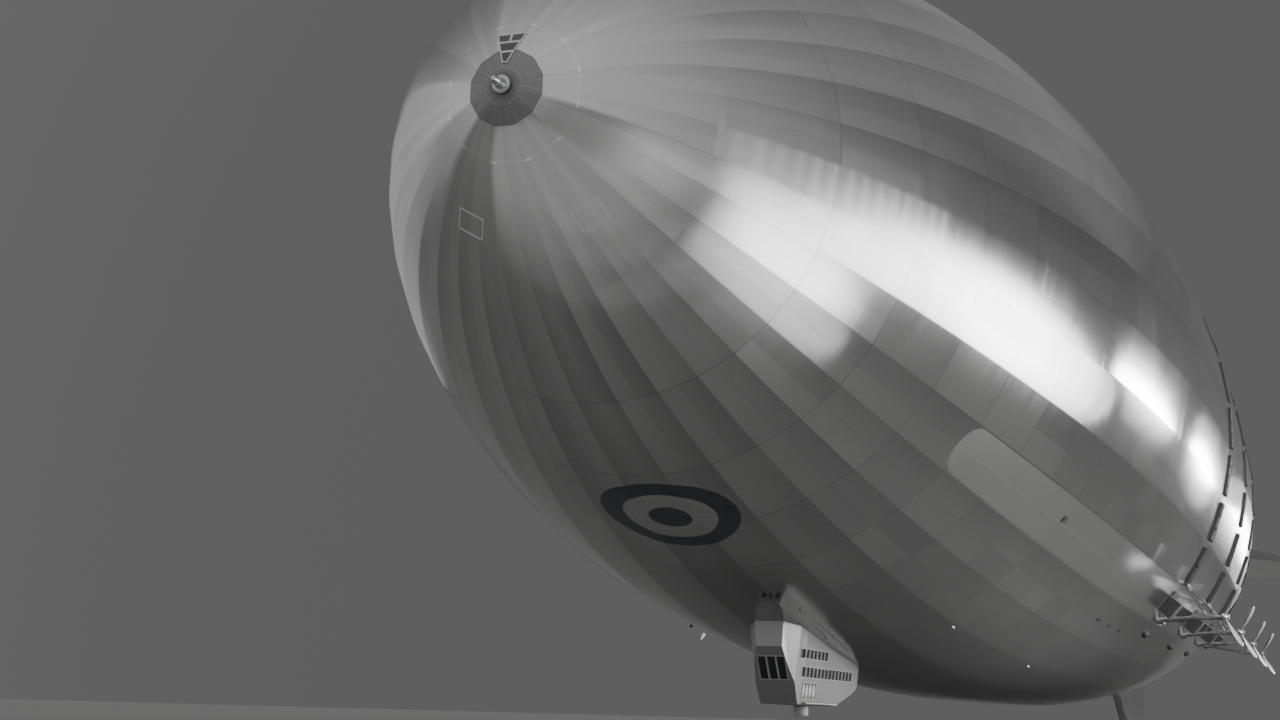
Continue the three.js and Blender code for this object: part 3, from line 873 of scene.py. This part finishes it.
def block(size, place=(0, 0, 0)):
    """A box with its middle at a place, to be shaped."""
    deselect_all()
    bpy.ops.mesh.primitive_cube_add(size=1)
    piece = bpy.context.object
    piece.scale = size
    piece.location = place
    bpy.ops.object.transform_apply()
    return piece


def row_of(piece, count, step):
    modify(
        piece,
        "ARRAY",
        count=count,
        use_relative_offset=False,
        use_constant_offset=True,
        constant_offset_displace=step,
    )


def condenser_tray(length):
    """One tray of tubes, its length across the gore, facing +Z."""
    tray = block((CONDENSER_WIDTH, length, CONDENSER_PROUD), (0, 0, CONDENSER_PROUD / 2 - TRAY_SUNK))
    select_parts(tray, "polygons", lambda face: face.normal.z > 0.9)
    bpy.ops.mesh.inset(thickness=TRAY_RIM)
    bpy.ops.transform.translate(value=(0, 0, -TRAY_DEPTH))
    end_edit()
    pitch = (CONDENSER_WIDTH - TUBES_INSIDE) / TUBES
    tube_length = length - 2 * TRAY_RIM
    bpy.ops.mesh.primitive_cylinder_add(
        vertices=8, radius=pitch * TUBE_RADIUS, depth=tube_length, end_fill_type="NOTHING"
    )
    tube = bpy.context.object
    tube.rotation_euler = (math.radians(90), 0, 0)
    tube.location = (-(TUBES - 1) / 2 * pitch, 0, CONDENSER_PROUD * TUBE_LEVEL)
    bpy.ops.object.transform_apply()
    row_of(tube, TUBES, (pitch, 0, 0))
    bpy.ops.object.shade_smooth()
    return join_pieces([tray, tube], "tray")


def fit_at_engine(piece, stem, number, material, bend=None):
    """Finishes a port piece beside an engine and returns its starboard twin."""
    return fit_both_sides(piece, f"{stem}_p{number}", f"{stem}_s{number}", material, bend)


for number, station in enumerate(ENGINE_STATIONS, 1):
    trays = []
    for middle, count in CONDENSER_GORES:
        length = math.radians(GORE_REACH) * hull_radius(station) / count
        down_skin = Vector((0, math.cos(math.radians(middle)), -math.sin(math.radians(middle))))
        for k in range(count):
            tray = condenser_tray(length - TRAY_GAP)
            onto_skin(tray, station, middle)
            tray.location = down_skin * ((k + 0.5 - count / 2) * length)
            trays.append(tray)
    condenser = join_pieces(trays, "condenser")
    starboard_twin = fit_at_engine(condenser, "condenser", number, cooler_black)
    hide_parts(f"cooler_p{number}")
    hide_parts(f"cooler_s{number}")

# Radiators and the ducts to them: one box low on the skin ahead of each condenser, open fore and aft
# for the air, with a bright cover plate over it and a short black duct from the condenser's foot.
RADIATOR = {"ahead": 0.365, "angle": 130.2, "length": 0.156, "width": 0.136, "height": 0.108}
VANES = {"count": 15, "thickness": 0.0016, "inside": 0.018, "shorter": 0.004, "lower": 0.016}
COVER_PLATE = {"longer": 0.012, "thickness": 0.004, "higher": 0.003}
DUCT = {"ahead": 0.14, "angle": 127.6, "length": 0.30, "width": 0.045, "height": 0.012}
RADIATOR_LIFT = 0.0006
CASE = {"rim": 0.007, "recess": 0.012, "lid_rim": 0.012, "lid_rise": 0.003}
DUCT_ROUNDING = 0.003
PLATE_ROUNDING = 0.0012
radiator_grey = worn_metal("radiator_grey", (0.16, 0.16, 0.165, 1), (0.09, 0.09, 0.092, 1), 0.4, 0.5)


def bevel_all(offset):
    edit_all()
    bpy.ops.mesh.bevel(offset=offset, segments=2, affect="EDGES")
    end_edit()


half_height = RADIATOR["height"] / 2
for number, station in enumerate(ENGINE_STATIONS, 1):
    case = block((RADIATOR["length"], RADIATOR["width"], RADIATOR["height"]), (0, 0, half_height))
    select_parts(case, "polygons", lambda face: abs(face.normal.x) > 0.9)
    bpy.ops.mesh.inset(thickness=CASE["rim"], use_individual=True)
    bpy.ops.mesh.extrude_region_shrink_fatten(TRANSFORM_OT_shrink_fatten={"value": -CASE["recess"]})
    select_parts(case, "polygons", lambda face: face.normal.z > 0.9)
    bpy.ops.mesh.inset(thickness=CASE["lid_rim"])
    bpy.ops.transform.translate(value=(0, 0, CASE["lid_rise"]))
    end_edit()
    vane_length, vane_height = RADIATOR["length"] - VANES["shorter"], RADIATOR["height"] - VANES["lower"]
    row_width = RADIATOR["width"] - VANES["inside"]
    vane = block((vane_length, VANES["thickness"], vane_height), (0, -row_width / 2, half_height))
    row_of(vane, VANES["count"], (0, row_width / (VANES["count"] - 1), 0))
    duct_across = (DUCT["angle"] - RADIATOR["angle"]) * DEGREE * hull_radius(station)
    duct_place = (DUCT["ahead"] - RADIATOR["ahead"], duct_across, DUCT["height"] / 2)
    duct = block((DUCT["length"], DUCT["width"], DUCT["height"]), duct_place)
    bevel_all(DUCT_ROUNDING)
    radiator = join_pieces([case, vane, duct], "radiator")
    onto_skin(radiator, station - RADIATOR["ahead"], RADIATOR["angle"], RADIATOR_LIFT)
    fit_at_engine(radiator, "radiator", number, radiator_grey)

    plate_size = (
        RADIATOR["length"] + COVER_PLATE["longer"],
        COVER_PLATE["thickness"],
        RADIATOR["height"] + COVER_PLATE["higher"],
    )
    plate_out = RADIATOR["width"] / 2 + COVER_PLATE["thickness"] / 2
    plate = block(plate_size, (0, -plate_out, half_height))
    bevel_all(PLATE_ROUNDING)
    onto_skin(plate, station - RADIATOR["ahead"], RADIATOR["angle"], RADIATOR_LIFT)
    fit_at_engine(plate, "radiator_plate", number, bright_alloy, 30)

# Outriggers: streamlined tube booms, doped grey, that carry each propeller clear of the hull. Their
# own solids stay; a bright forging on the skin takes the two stays, and collars clamp the booms' ends.
HUB = (1.935, -1.380)
BOOM_TIP = (1.888, -1.380)
SECOND_BOOM_AFT = 0.23
BOOM_RADII = (0.015, 0.011)
BRACKET_ANGLE = 124.4
ROOT_ANGLE = 134.3
# Each collar's start along the boom (or, below 0, before its end), length and swell.
COLLARS = [(0.003, 0.012, 1.9), (0.015, 0.035, 1.35), (-0.05, 0.03, 1.3)]
STAY_ENDS = [(1.816, -1.380), (1.886, -1.374)]
# Each sleeve's start and end along a stay (or, below 0, before the stay's end) and its radius.
SLEEVES = [(0.022, 0.060, 0.0105), (-0.05, -0.012, 0.010)]
FORGING = {"size": (0.060, 0.030, 0.012), "rim": 0.006, "boss": 0.020, "taper": (0.45, 0.7, 1)}
FORGING_LIFT = 0.019
FORGING_ROUNDING = 0.002
boom_metal = worn_metal("boom_metal", (0.22, 0.22, 0.225, 1), (0.12, 0.12, 0.125, 1), 0.55, 0.42)
for letter in "ps":
    for number in (1, 2, 3, 4):
        repaint(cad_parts[f"outrigger_{letter}{number}"], boom_metal)


def rod(start, end, radius, sides=12):
    """A round bar between two points."""
    deselect_all()
    start, end = Vector(start), Vector(end)
    run = end - start
    bpy.ops.mesh.primitive_cylinder_add(
        vertices=sides, radius=radius, depth=run.length, location=(start + end) / 2
    )
    bar = bpy.context.object
    bar.rotation_euler = run.to_track_quat("Z", "Y").to_euler()
    bpy.ops.object.transform_apply()
    return bar


def on_port_skin(station, angle):
    turn = math.radians(angle)
    out = skin_radius(station, angle)
    return Vector((NOSE_X - station, out * math.sin(turn), out * math.cos(turn)))


for number, station in enumerate(ENGINE_STATIONS, 1):
    x = NOSE_X - station
    tip = Vector((x, *BOOM_TIP))
    feet = [on_port_skin(station, ROOT_ANGLE), on_port_skin(station + SECOND_BOOM_AFT, ROOT_ANGLE)]
    collars = []
    for foot, radius in zip(feet, BOOM_RADII):
        run = (tip - foot).normalized()
        for start, length, swell in COLLARS:
            near = start if start > 0 else (tip - foot).length + start
            collars.append(rod(foot + run * near, foot + run * (near + length), radius * swell, 20))
    collars = join_pieces(collars, "boom_collars")
    fit_at_engine(collars, "boom_collars", number, boom_metal, 35)

    forging = block(FORGING["size"])
    select_parts(forging, "polygons", lambda face: face.normal.z > 0.9)
    bpy.ops.mesh.inset(thickness=FORGING["rim"])
    draw_out(0, 0, FORGING["boss"])
    bpy.ops.transform.resize(value=FORGING["taper"])
    bevel_all(FORGING_ROUNDING)
    onto_skin(forging, station, BRACKET_ANGLE, FORGING_LIFT)
    bracket_top = on_port_skin(station, BRACKET_ANGLE)
    parts = [forging]
    for stay_end in STAY_ENDS:
        stay = Vector((x, *stay_end)) - bracket_top
        run = stay.normalized()
        for *ends, radius in SLEEVES:
            start, end = (bracket_top + run * (at if at > 0 else stay.length + at) for at in ends)
            parts.append(rod(start, end, radius, 16))
    forging = join_pieces(parts, "stay_forging")
    fit_at_engine(forging, "stay_forging", number, bright_alloy, 35)

# Gearboxes: cast alloy housings that swivel on the booms' ends, with ribs and a ring of bolts.
# One is turned and bolted here, and all eight are its copies.
GEARBOX_INNER = 1.9085
GEARBOX_RINGS = [
    # Distance out along the boom's axis, radius.
    (0.0, 0.024), (0.003, 0.0268), (0.009, 0.0268), (0.011, 0.0225), (0.016, 0.0225), (0.018, 0.0262),
    (0.040, 0.0262), (0.042, 0.0235), (0.047, 0.0235), (0.049, 0.0262), (0.0545, 0.0262), (0.0595, 0.018),
]
GEARBOX_NOSE = [
    (0.018, 0.0205), (0.026, 0.0205), (0.028, 0.0165), (0.037, 0.0148), (0.039, 0.0175), (0.0438, 0.0175),
]
BOLT_RADIUS = 0.0017
NOSE_BOLTS = {"count": 8, "circle": 0.0185, "from": 0.020, "to": 0.0285}
COVER_BOLTS = {"count": 10, "circle": 0.0195, "from": 1.9615, "to": 1.9665}


def turned_housing(rings, axis, place):
    """A closed turned body from rings of distance and radius along +X or +Y."""
    deselect_all()
    bpy.ops.mesh.primitive_circle_add(vertices=28, radius=rings[0][1], fill_type="NGON")
    housing = bpy.context.object
    start_edit()
    for (before, wide), (after, narrow) in zip(rings, rings[1:]):
        draw_out(0, 0, after - before)
        scale_about((0, 0, 0), narrow / wide, narrow / wide, 1)
    face_out()
    housing.rotation_euler = (0, math.radians(90), 0) if axis == "X" else (math.radians(-90), 0, 0)
    housing.location = place
    bpy.ops.object.transform_apply()
    return housing


x = NOSE_X - ENGINE_STATIONS[0]
cast_alloy = worn_metal("cast_alloy", (0.40, 0.40, 0.405, 1), (0.26, 0.26, 0.265, 1), 0.75, 0.4)
barrel = turned_housing(GEARBOX_RINGS, "Y", (x, GEARBOX_INNER, HUB[1]))
snout = turned_housing(GEARBOX_NOSE, "X", (x + GEARBOX_NOSE[0][0], *HUB))
parts = [barrel, snout]
for across, up in bolt_circle(NOSE_BOLTS, first=0.5):
    y, z = HUB[0] + across, HUB[1] + up
    parts.append(rod((x + NOSE_BOLTS["from"], y, z), (x + NOSE_BOLTS["to"], y, z), BOLT_RADIUS, 6))
for forward, up in bolt_circle(COVER_BOLTS):
    bolt_x, z = x + forward, HUB[1] + up
    parts.append(rod((bolt_x, COVER_BOLTS["from"], z), (bolt_x, COVER_BOLTS["to"], z), BOLT_RADIUS, 6))
gearbox = join_pieces(parts, "gearbox_casting_p1")

# Propellers: three forged alloy blades, polished bright, in a steel hub with a small spinner.
# One is drawn here, and all eight are its copies, each on its own gearbox.
BLADE = [
    # Distance from the axis, chord, thickness and pitch in degrees.
    (0.012, 0.017, 0.0160, 50), (0.032, 0.018, 0.0150, 50), (0.050, 0.022, 0.0120, 47),
    (0.078, 0.029, 0.0088, 41), (0.110, 0.0345, 0.0066, 35), (0.145, 0.0365, 0.0050, 29),
    (0.180, 0.0350, 0.0038, 25), (0.208, 0.0300, 0.0029, 21), (0.228, 0.0220, 0.0022, 19),
    (0.239, 0.0120, 0.0016, 18), (0.2428, 0.0040, 0.0010, 18),
]
BLADES = 3
PROPELLER_PLANE = 0.062
HUB_RINGS = [
    # Distance ahead of the propeller's plane, radius.
    (-0.0172, 0.0165), (-0.0165, 0.0195), (-0.008, 0.0195), (-0.006, 0.0180), (0.007, 0.0180),
    (0.009, 0.0190), (0.0115, 0.0170), (0.015, 0.0115), (0.0205, 0.0095), (0.0235, 0.0050),
]
polished_alloy = worn_metal("polished_alloy", (0.86, 0.86, 0.87, 1), (0.70, 0.70, 0.71, 1), 1.0, 0.24, 60.0)
centre = Vector((x + PROPELLER_PLANE, *HUB))
parts = [turned_housing(HUB_RINGS, "X", centre + Vector((HUB_RINGS[0][0], 0, 0)))]
for k in range(BLADES):
    deselect_all()
    bpy.ops.mesh.primitive_circle_add(vertices=16, radius=0.5, fill_type="NGON")
    blade = bpy.context.object
    blade.scale = (BLADE[0][2], BLADE[0][1], 1)
    blade.location = (0, 0, BLADE[0][0])
    blade.rotation_euler = (0, 0, math.radians(-BLADE[0][3]))
    bpy.ops.object.transform_apply()
    edit_all()
    for (z0, chord0, thick0, pitch0), (z1, chord1, thick1, pitch1) in zip(BLADE, BLADE[1:]):
        at_ring = {"center_override": (0, 0, z1)}
        draw_out(0, 0, z1 - z0)
        bpy.ops.transform.rotate(value=math.radians(-pitch0), orient_axis="Z", **at_ring)
        bpy.ops.transform.resize(value=(thick1 / thick0, chord1 / chord0, 1), **at_ring)
        bpy.ops.transform.rotate(value=math.radians(pitch1), orient_axis="Z", **at_ring)
    face_out()
    blade.rotation_euler = (math.radians(90 + k * 360 / BLADES), 0, 0)
    blade.location = centre
    bpy.ops.object.transform_apply()
    parts.append(blade)
propeller = join_pieces(parts, "propeller_metal_p1")

ENGINE_PIECES = [
    # Model, its name, its metal, its slot and the node that it stands for.
    (gearbox, "gearbox_casting", cast_alloy, "strut_metal", "gearbox"),
    (propeller, "propeller_forging", polished_alloy, "propeller_metal", "propeller"),
]
for number, station in enumerate(ENGINE_STATIONS, 1):
    for model, stem, paint, slot, node in ENGINE_PIECES:
        twin = copy_of(model)
        twin.location.x += ENGINE_STATIONS[0] - station
        finish_piece(twin, f"{stem}_p{number}", paint, f"{node}_p{number}", 32)
        other = mirror_to_starboard(twin, f"{stem}_s{number}", f"{node}_s{number}")
        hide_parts(f"{node}_p{number}")
        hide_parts(f"{node}_s{number}")
bpy.data.objects.remove(gearbox)
bpy.data.objects.remove(propeller)

# Control car: sheet alloy over frames, painted aluminium. Its own solid stays, with a seamed skin, and
# every opening has a pressed window frame screwed round it; the clear lining inside is the glazing.
CAR_TOP = {"level": -1.700, "half_width": 0.152}
CAR_SIDE_SLOPE = 0.052 / 0.415
CAR_FRONT = 3.36
CAR_WINDOW_ROWS = [
    # Name, first window's station, pitch, count, width, and the heights of sill and head.
    ("upper", 3.560, 0.074, 7, 0.056, -1.880, -1.835),
    ("middle", 3.600, 0.074, 14, 0.056, -1.975, -1.925),
    ("lower", 3.640, 0.066, 4, 0.052, -2.085, -2.005),
]
CAR_FRONT_WINDOWS = {"across": (-0.050, 0.0, 0.050), "width": 0.040, "sill": -1.990, "head": -1.880}
FRAME_BAR = 0.0045
FRAME_PROUD = 0.0006
FRAME_THICKNESS = 0.0024
CAR_SEAM = 0.0012
UPRIGHT_SEAMS = {"from": 0.051, "half_pitch": 0.074}
LEVEL_SEAMS = {"from": -1.903, "half_pitch": 0.0465}
car_paint = worn_metal("car_paint", (0.42, 0.42, 0.415, 1), (0.33, 0.33, 0.33, 1), 0.55, 0.4)
car_sockets = car_paint.node_tree.nodes["Principled BSDF"].inputs
place, car_x, _, car_z = place_on(car_paint.node_tree)
upright_place = calc("PINGPONG", NOSE_X - car_x - UPRIGHT_SEAMS["from"], UPRIGHT_SEAMS["half_pitch"])
level_place = calc("PINGPONG", car_z - LEVEL_SEAMS["from"], LEVEL_SEAMS["half_pitch"])
car_seams = calc("MAXIMUM", near_line(upright_place, CAR_SEAM), near_line(level_place, CAR_SEAM))
draw_lines(car_sockets, car_seams, 0.45, (0.2, 0.2, 0.2, 1))
car_bump = car_sockets["Normal"].links[0].from_node
feed(car_bump.inputs["Height"], noise(place, 9.0, 2.0, 0.4) * 2.5 - car_seams)
car_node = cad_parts["control_car"]
repaint(car_node, car_paint)
repaint(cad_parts["control_car_glazing"], dark_glass)


def window_frame(width, height, with_mullion=False):
    """A flat ring of four bars on the XZ plane, facing +Y, its middle at the origin."""
    ring = flat_face(width + 2 * FRAME_BAR, height + 2 * FRAME_BAR)
    edit_all()
    if with_mullion:
        bpy.ops.mesh.bisect(plane_co=(0, 0, 0), plane_no=(1, 0, 0))
        select_all()
    bpy.ops.mesh.inset(thickness=FRAME_BAR * 0.8, use_individual=True)
    bpy.ops.mesh.delete(type="FACE")
    select_all()
    bpy.ops.mesh.subdivide(number_cuts=2)
    end_edit()
    ring.rotation_euler = (math.radians(90), 0, math.radians(180))
    bpy.ops.object.transform_apply()
    return ring


def press_onto(piece, target, offset, thickness, axis=None):
    """Presses a flat piece onto a surface, straight along an axis or to the nearest point."""
    if axis:
        way = {f"use_project_{axis}": True, "use_negative_direction": True, "use_positive_direction": False}
        modify(piece, "SHRINKWRAP", wrap_method="PROJECT", target=target, offset=offset, **way)
    else:
        modify(piece, "SHRINKWRAP", wrap_method="NEAREST_SURFACEPOINT", target=target, offset=offset)
    if thickness:
        modify(piece, "SOLIDIFY", thickness=thickness, offset=1)


def fit_frames(rings, name, axis=None):
    """Joins a row of window frames and fixes it to the car."""
    frames = join_pieces(rings, name)
    press_onto(frames, car_node, FRAME_PROUD, FRAME_THICKNESS, axis)
    return finish_piece(frames, name, light_frame)


for row_name, first, pitch, count, width, sill, head in CAR_WINDOW_ROWS:
    rings = []
    level = (sill + head) / 2
    half_width = CAR_TOP["half_width"] - CAR_SIDE_SLOPE * (CAR_TOP["level"] - level)
    for k in range(count):
        ring = window_frame(width, head - sill, with_mullion=row_name == "lower")
        ring.rotation_euler = (-math.atan(CAR_SIDE_SLOPE), 0, 0)
        ring.location = (NOSE_X - first - k * pitch - width / 2, half_width + 0.002, level)
        bpy.ops.object.transform_apply()
        rings.append(ring)
    frames = fit_frames(rings, f"car_window_frames_{row_name}_port")
    mirror_to_starboard(frames, f"car_window_frames_{row_name}_starboard")

rings = []
sill, head = CAR_FRONT_WINDOWS["sill"], CAR_FRONT_WINDOWS["head"]
for y in CAR_FRONT_WINDOWS["across"]:
    ring = window_frame(CAR_FRONT_WINDOWS["width"], head - sill)
    ring.rotation_euler = (0, 0, math.radians(-90))
    ring.location = (NOSE_X - CAR_FRONT, y, (head + sill) / 2)
    bpy.ops.object.transform_apply()
    rings.append(ring)
fit_frames(rings, "car_window_frames_front", "x")

# Handling rails of the car: tubes on short feet along both lower edges, to hold the car steady by.
# They are painted light, as the window frames are.
RAIL = {"from": 3.66, "to": 4.30, "level": -2.108, "out": 0.122, "radius": 0.0042}
RAIL_FEET = {"count": 6, "end_gap": 0.02, "radius": 0.0034, "at_car": (0.0985, -2.100)}
rail_place = (RAIL["out"], RAIL["level"])
parts = [rod((NOSE_X - RAIL["from"], *rail_place), (NOSE_X - RAIL["to"], *rail_place), RAIL["radius"])]
feet_pitch = (RAIL["to"] - RAIL["from"] - 2 * RAIL_FEET["end_gap"]) / (RAIL_FEET["count"] - 1)
for k in range(RAIL_FEET["count"]):
    x = NOSE_X - RAIL["from"] - RAIL_FEET["end_gap"] - k * feet_pitch
    parts.append(rod((x, *rail_place), (x, *RAIL_FEET["at_car"]), RAIL_FEET["radius"], 10))
rails = join_pieces(parts, "car_rail_port")
fit_both_sides(rails, "car_rail_port", "car_rail_starboard", light_frame, 35)

# Landing bumper: a canvas drum packed with air cells under the car, drawn in by two bands.
# It is hung from the car's floor, and its flat foot is what the car lands on.
BUMPER_STATION = 4.0
BUMPER_TOP = -2.1153
BUMPER_RINGS = [
    # Distance down from the car's floor, radius.
    (0.0, 0.0330), (0.004, 0.0375), (0.012, 0.0412), (0.018, 0.0418), (0.0215, 0.0404), (0.025, 0.0418),
    (0.034, 0.0420), (0.0385, 0.0405), (0.043, 0.0418), (0.050, 0.0400), (0.057, 0.0350), (0.0612, 0.0275),
]
CANVAS_CLEAN = (0.80, 0.79, 0.75, 1)
CANVAS_SOILED = (0.58, 0.56, 0.51, 1)
canvas, canvas_tree, canvas_sockets = new_paint("canvas")
place = Amount(canvas_tree.nodes.new("ShaderNodeTexCoord").outputs["Object"])
soil = noise(place, 18.0)
feed(canvas_sockets["Base Color"], blend(soil, CANVAS_CLEAN, CANVAS_SOILED))
feed(canvas_sockets["Roughness"], 0.8 + soil * 0.15)
add_relief(canvas_sockets, noise(place, 900.0, 2.0), 0.0005)
bumper = turned_housing(BUMPER_RINGS, "X", (0, 0, 0))
bumper.rotation_euler = (0, math.radians(90), 0)
bumper.location = (NOSE_X - BUMPER_STATION, 0, BUMPER_TOP)
bpy.ops.object.transform_apply()
finish_piece(bumper, "landing_bumper", canvas, bend=60)
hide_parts("car_bumper")

# Tail: four fins with a rudder or an elevator behind each, alloy ribs and spars under doped cotton.
# Their own solids stay; narrow doped tapes over the ribs and spars show where the frame lies.
# Each edge is a list of stations and heights above the ship's axis.
FIN_EDGE = [(17.70, 1.25), (18.00, 1.48), (19.40, 2.11), (20.15, 2.2325), (21.504, 2.2325)]
RUDDER_TOP_EDGE = [(21.55, 2.2325), (21.95, 2.2325), (22.15, 2.15), (22.33, 1.90), (22.42, 0.76)]
RUDDER_FOOT_EDGE = [(21.55, 0.865), (22.30, 0.64), (22.42, 0.76)]
EDGE_MARGIN = 0.02
FIN_ROOT = {"from": 17.7, "to": 21.5, "above_hull": 0.01}
# A tape is drawn this far beside the fin and then pressed onto it.
TAPES_BESIDE = 0.15
SPAR_END_MARGIN = 0.03
SHORTEST_SPAR = 0.1
TAPE_WIDTH = 0.012
TAPE_PROUD = 0.0008
FIN_RIBS = [18.3, 18.7, 19.1, 19.5, 19.9, 20.3, 20.7, 21.1, 21.45]
FIN_SPARS = [1.25, 1.55, 1.85, 2.12]
RUDDER_RIBS = [21.75, 21.95, 22.15, 22.30]
RUDDER_SPARS = [1.15, 1.5, 1.8, 2.1]
# Every centimetre from the fins' front to the rear edge of the rudders.
TAIL_STATIONS = [s / 100 for s in range(1760, 2243)]
TAIL = [
    # Turn about the ship's axis, fin, moving surface.
    (0, "fin_top", "rudder_top"), (90, "fin_starboard", "elevator_starboard"),
    (180, "fin_bottom", "rudder_bottom"), (270, "fin_port", "elevator_port"),
]


def along_edge(edge, station, further=0.0):
    """Height of an edge at a station, and further up or down; None where the edge doesn't reach."""
    for (s0, h0), (s1, h1) in zip(edge, edge[1:]):
        if s0 <= station <= s1:
            return h0 + (h1 - h0) * (station - s0) / (s1 - s0) + further
    return None


def fin_foot(station):
    if FIN_ROOT["from"] <= station <= FIN_ROOT["to"]:
        return hull_radius(station) + FIN_ROOT["above_hull"]
    return None


def fin_head(station):
    return along_edge(FIN_EDGE, station, -EDGE_MARGIN)


def rudder_foot(station):
    return along_edge(RUDDER_FOOT_EDGE, station, EDGE_MARGIN)


def rudder_head(station):
    return along_edge(RUDDER_TOP_EDGE, station, -EDGE_MARGIN)


def tape(from_station, from_height, to_station, to_height):
    """A flat strip on the XZ plane beside the top fin, facing +Y, cut across so that it can bend."""
    start = Vector((NOSE_X - from_station, TAPES_BESIDE, from_height))
    end = Vector((NOSE_X - to_station, TAPES_BESIDE, to_height))
    strip = flat_face((end - start).length, TAPE_WIDTH)
    strip.rotation_euler = (math.radians(90), 0, 0)
    bpy.ops.object.transform_apply()
    strip.rotation_euler = (0, -math.atan2(end.z - start.z, end.x - start.x), 0)
    strip.location = (start + end) / 2
    bpy.ops.object.transform_apply()
    start_edit()
    bpy.ops.mesh.select_mode(type="FACE")
    select_all()
    for k in range(4):
        bpy.ops.mesh.subdivide(number_cuts=1, quadcorner="INNERVERT")
    end_edit()
    return strip


def frame_tapes(name, target, ribs, spars, foot, head):
    """All tapes of one surface, on both of its sides; it stands upright, as the top fin does."""
    strips = [tape(station, foot(station), station, head(station)) for station in ribs]
    reached = [s for s in TAIL_STATIONS if foot(s) is not None and head(s) is not None]
    for height in spars:
        inside = [s for s in reached if foot(s) < height < head(s) + EDGE_MARGIN]
        if inside and max(inside) - min(inside) > SHORTEST_SPAR:
            first, last = min(inside) + SPAR_END_MARGIN, max(inside) - SPAR_END_MARGIN
            strips.append(tape(first, height, last, height))
    strips = join_pieces(strips, name)
    press_onto(strips, target, TAPE_PROUD, 0, "y")
    return join_pieces([strips, mirrored(strips)], name)


top_fin, top_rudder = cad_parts["fin_top"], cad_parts["rudder_top"]
fin_tapes = frame_tapes("fin_tapes", top_fin, FIN_RIBS, FIN_SPARS, fin_foot, fin_head)
rudder_tapes = frame_tapes("rudder_tapes", top_rudder, RUDDER_RIBS, RUDDER_SPARS, rudder_foot, rudder_head)
for turn, fin, moving in TAIL:
    for model, node, body in ((fin_tapes, fin, "hull"), (rudder_tapes, moving, moving)):
        twin = copy_of(model)
        twin.rotation_euler = (math.radians(turn), 0, 0)
        finish_piece(twin, f"{node}_tapes", tape_dope, body)
        repaint(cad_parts[node], tail_dope)
bpy.data.objects.remove(fin_tapes)
bpy.data.objects.remove(rudder_tapes)
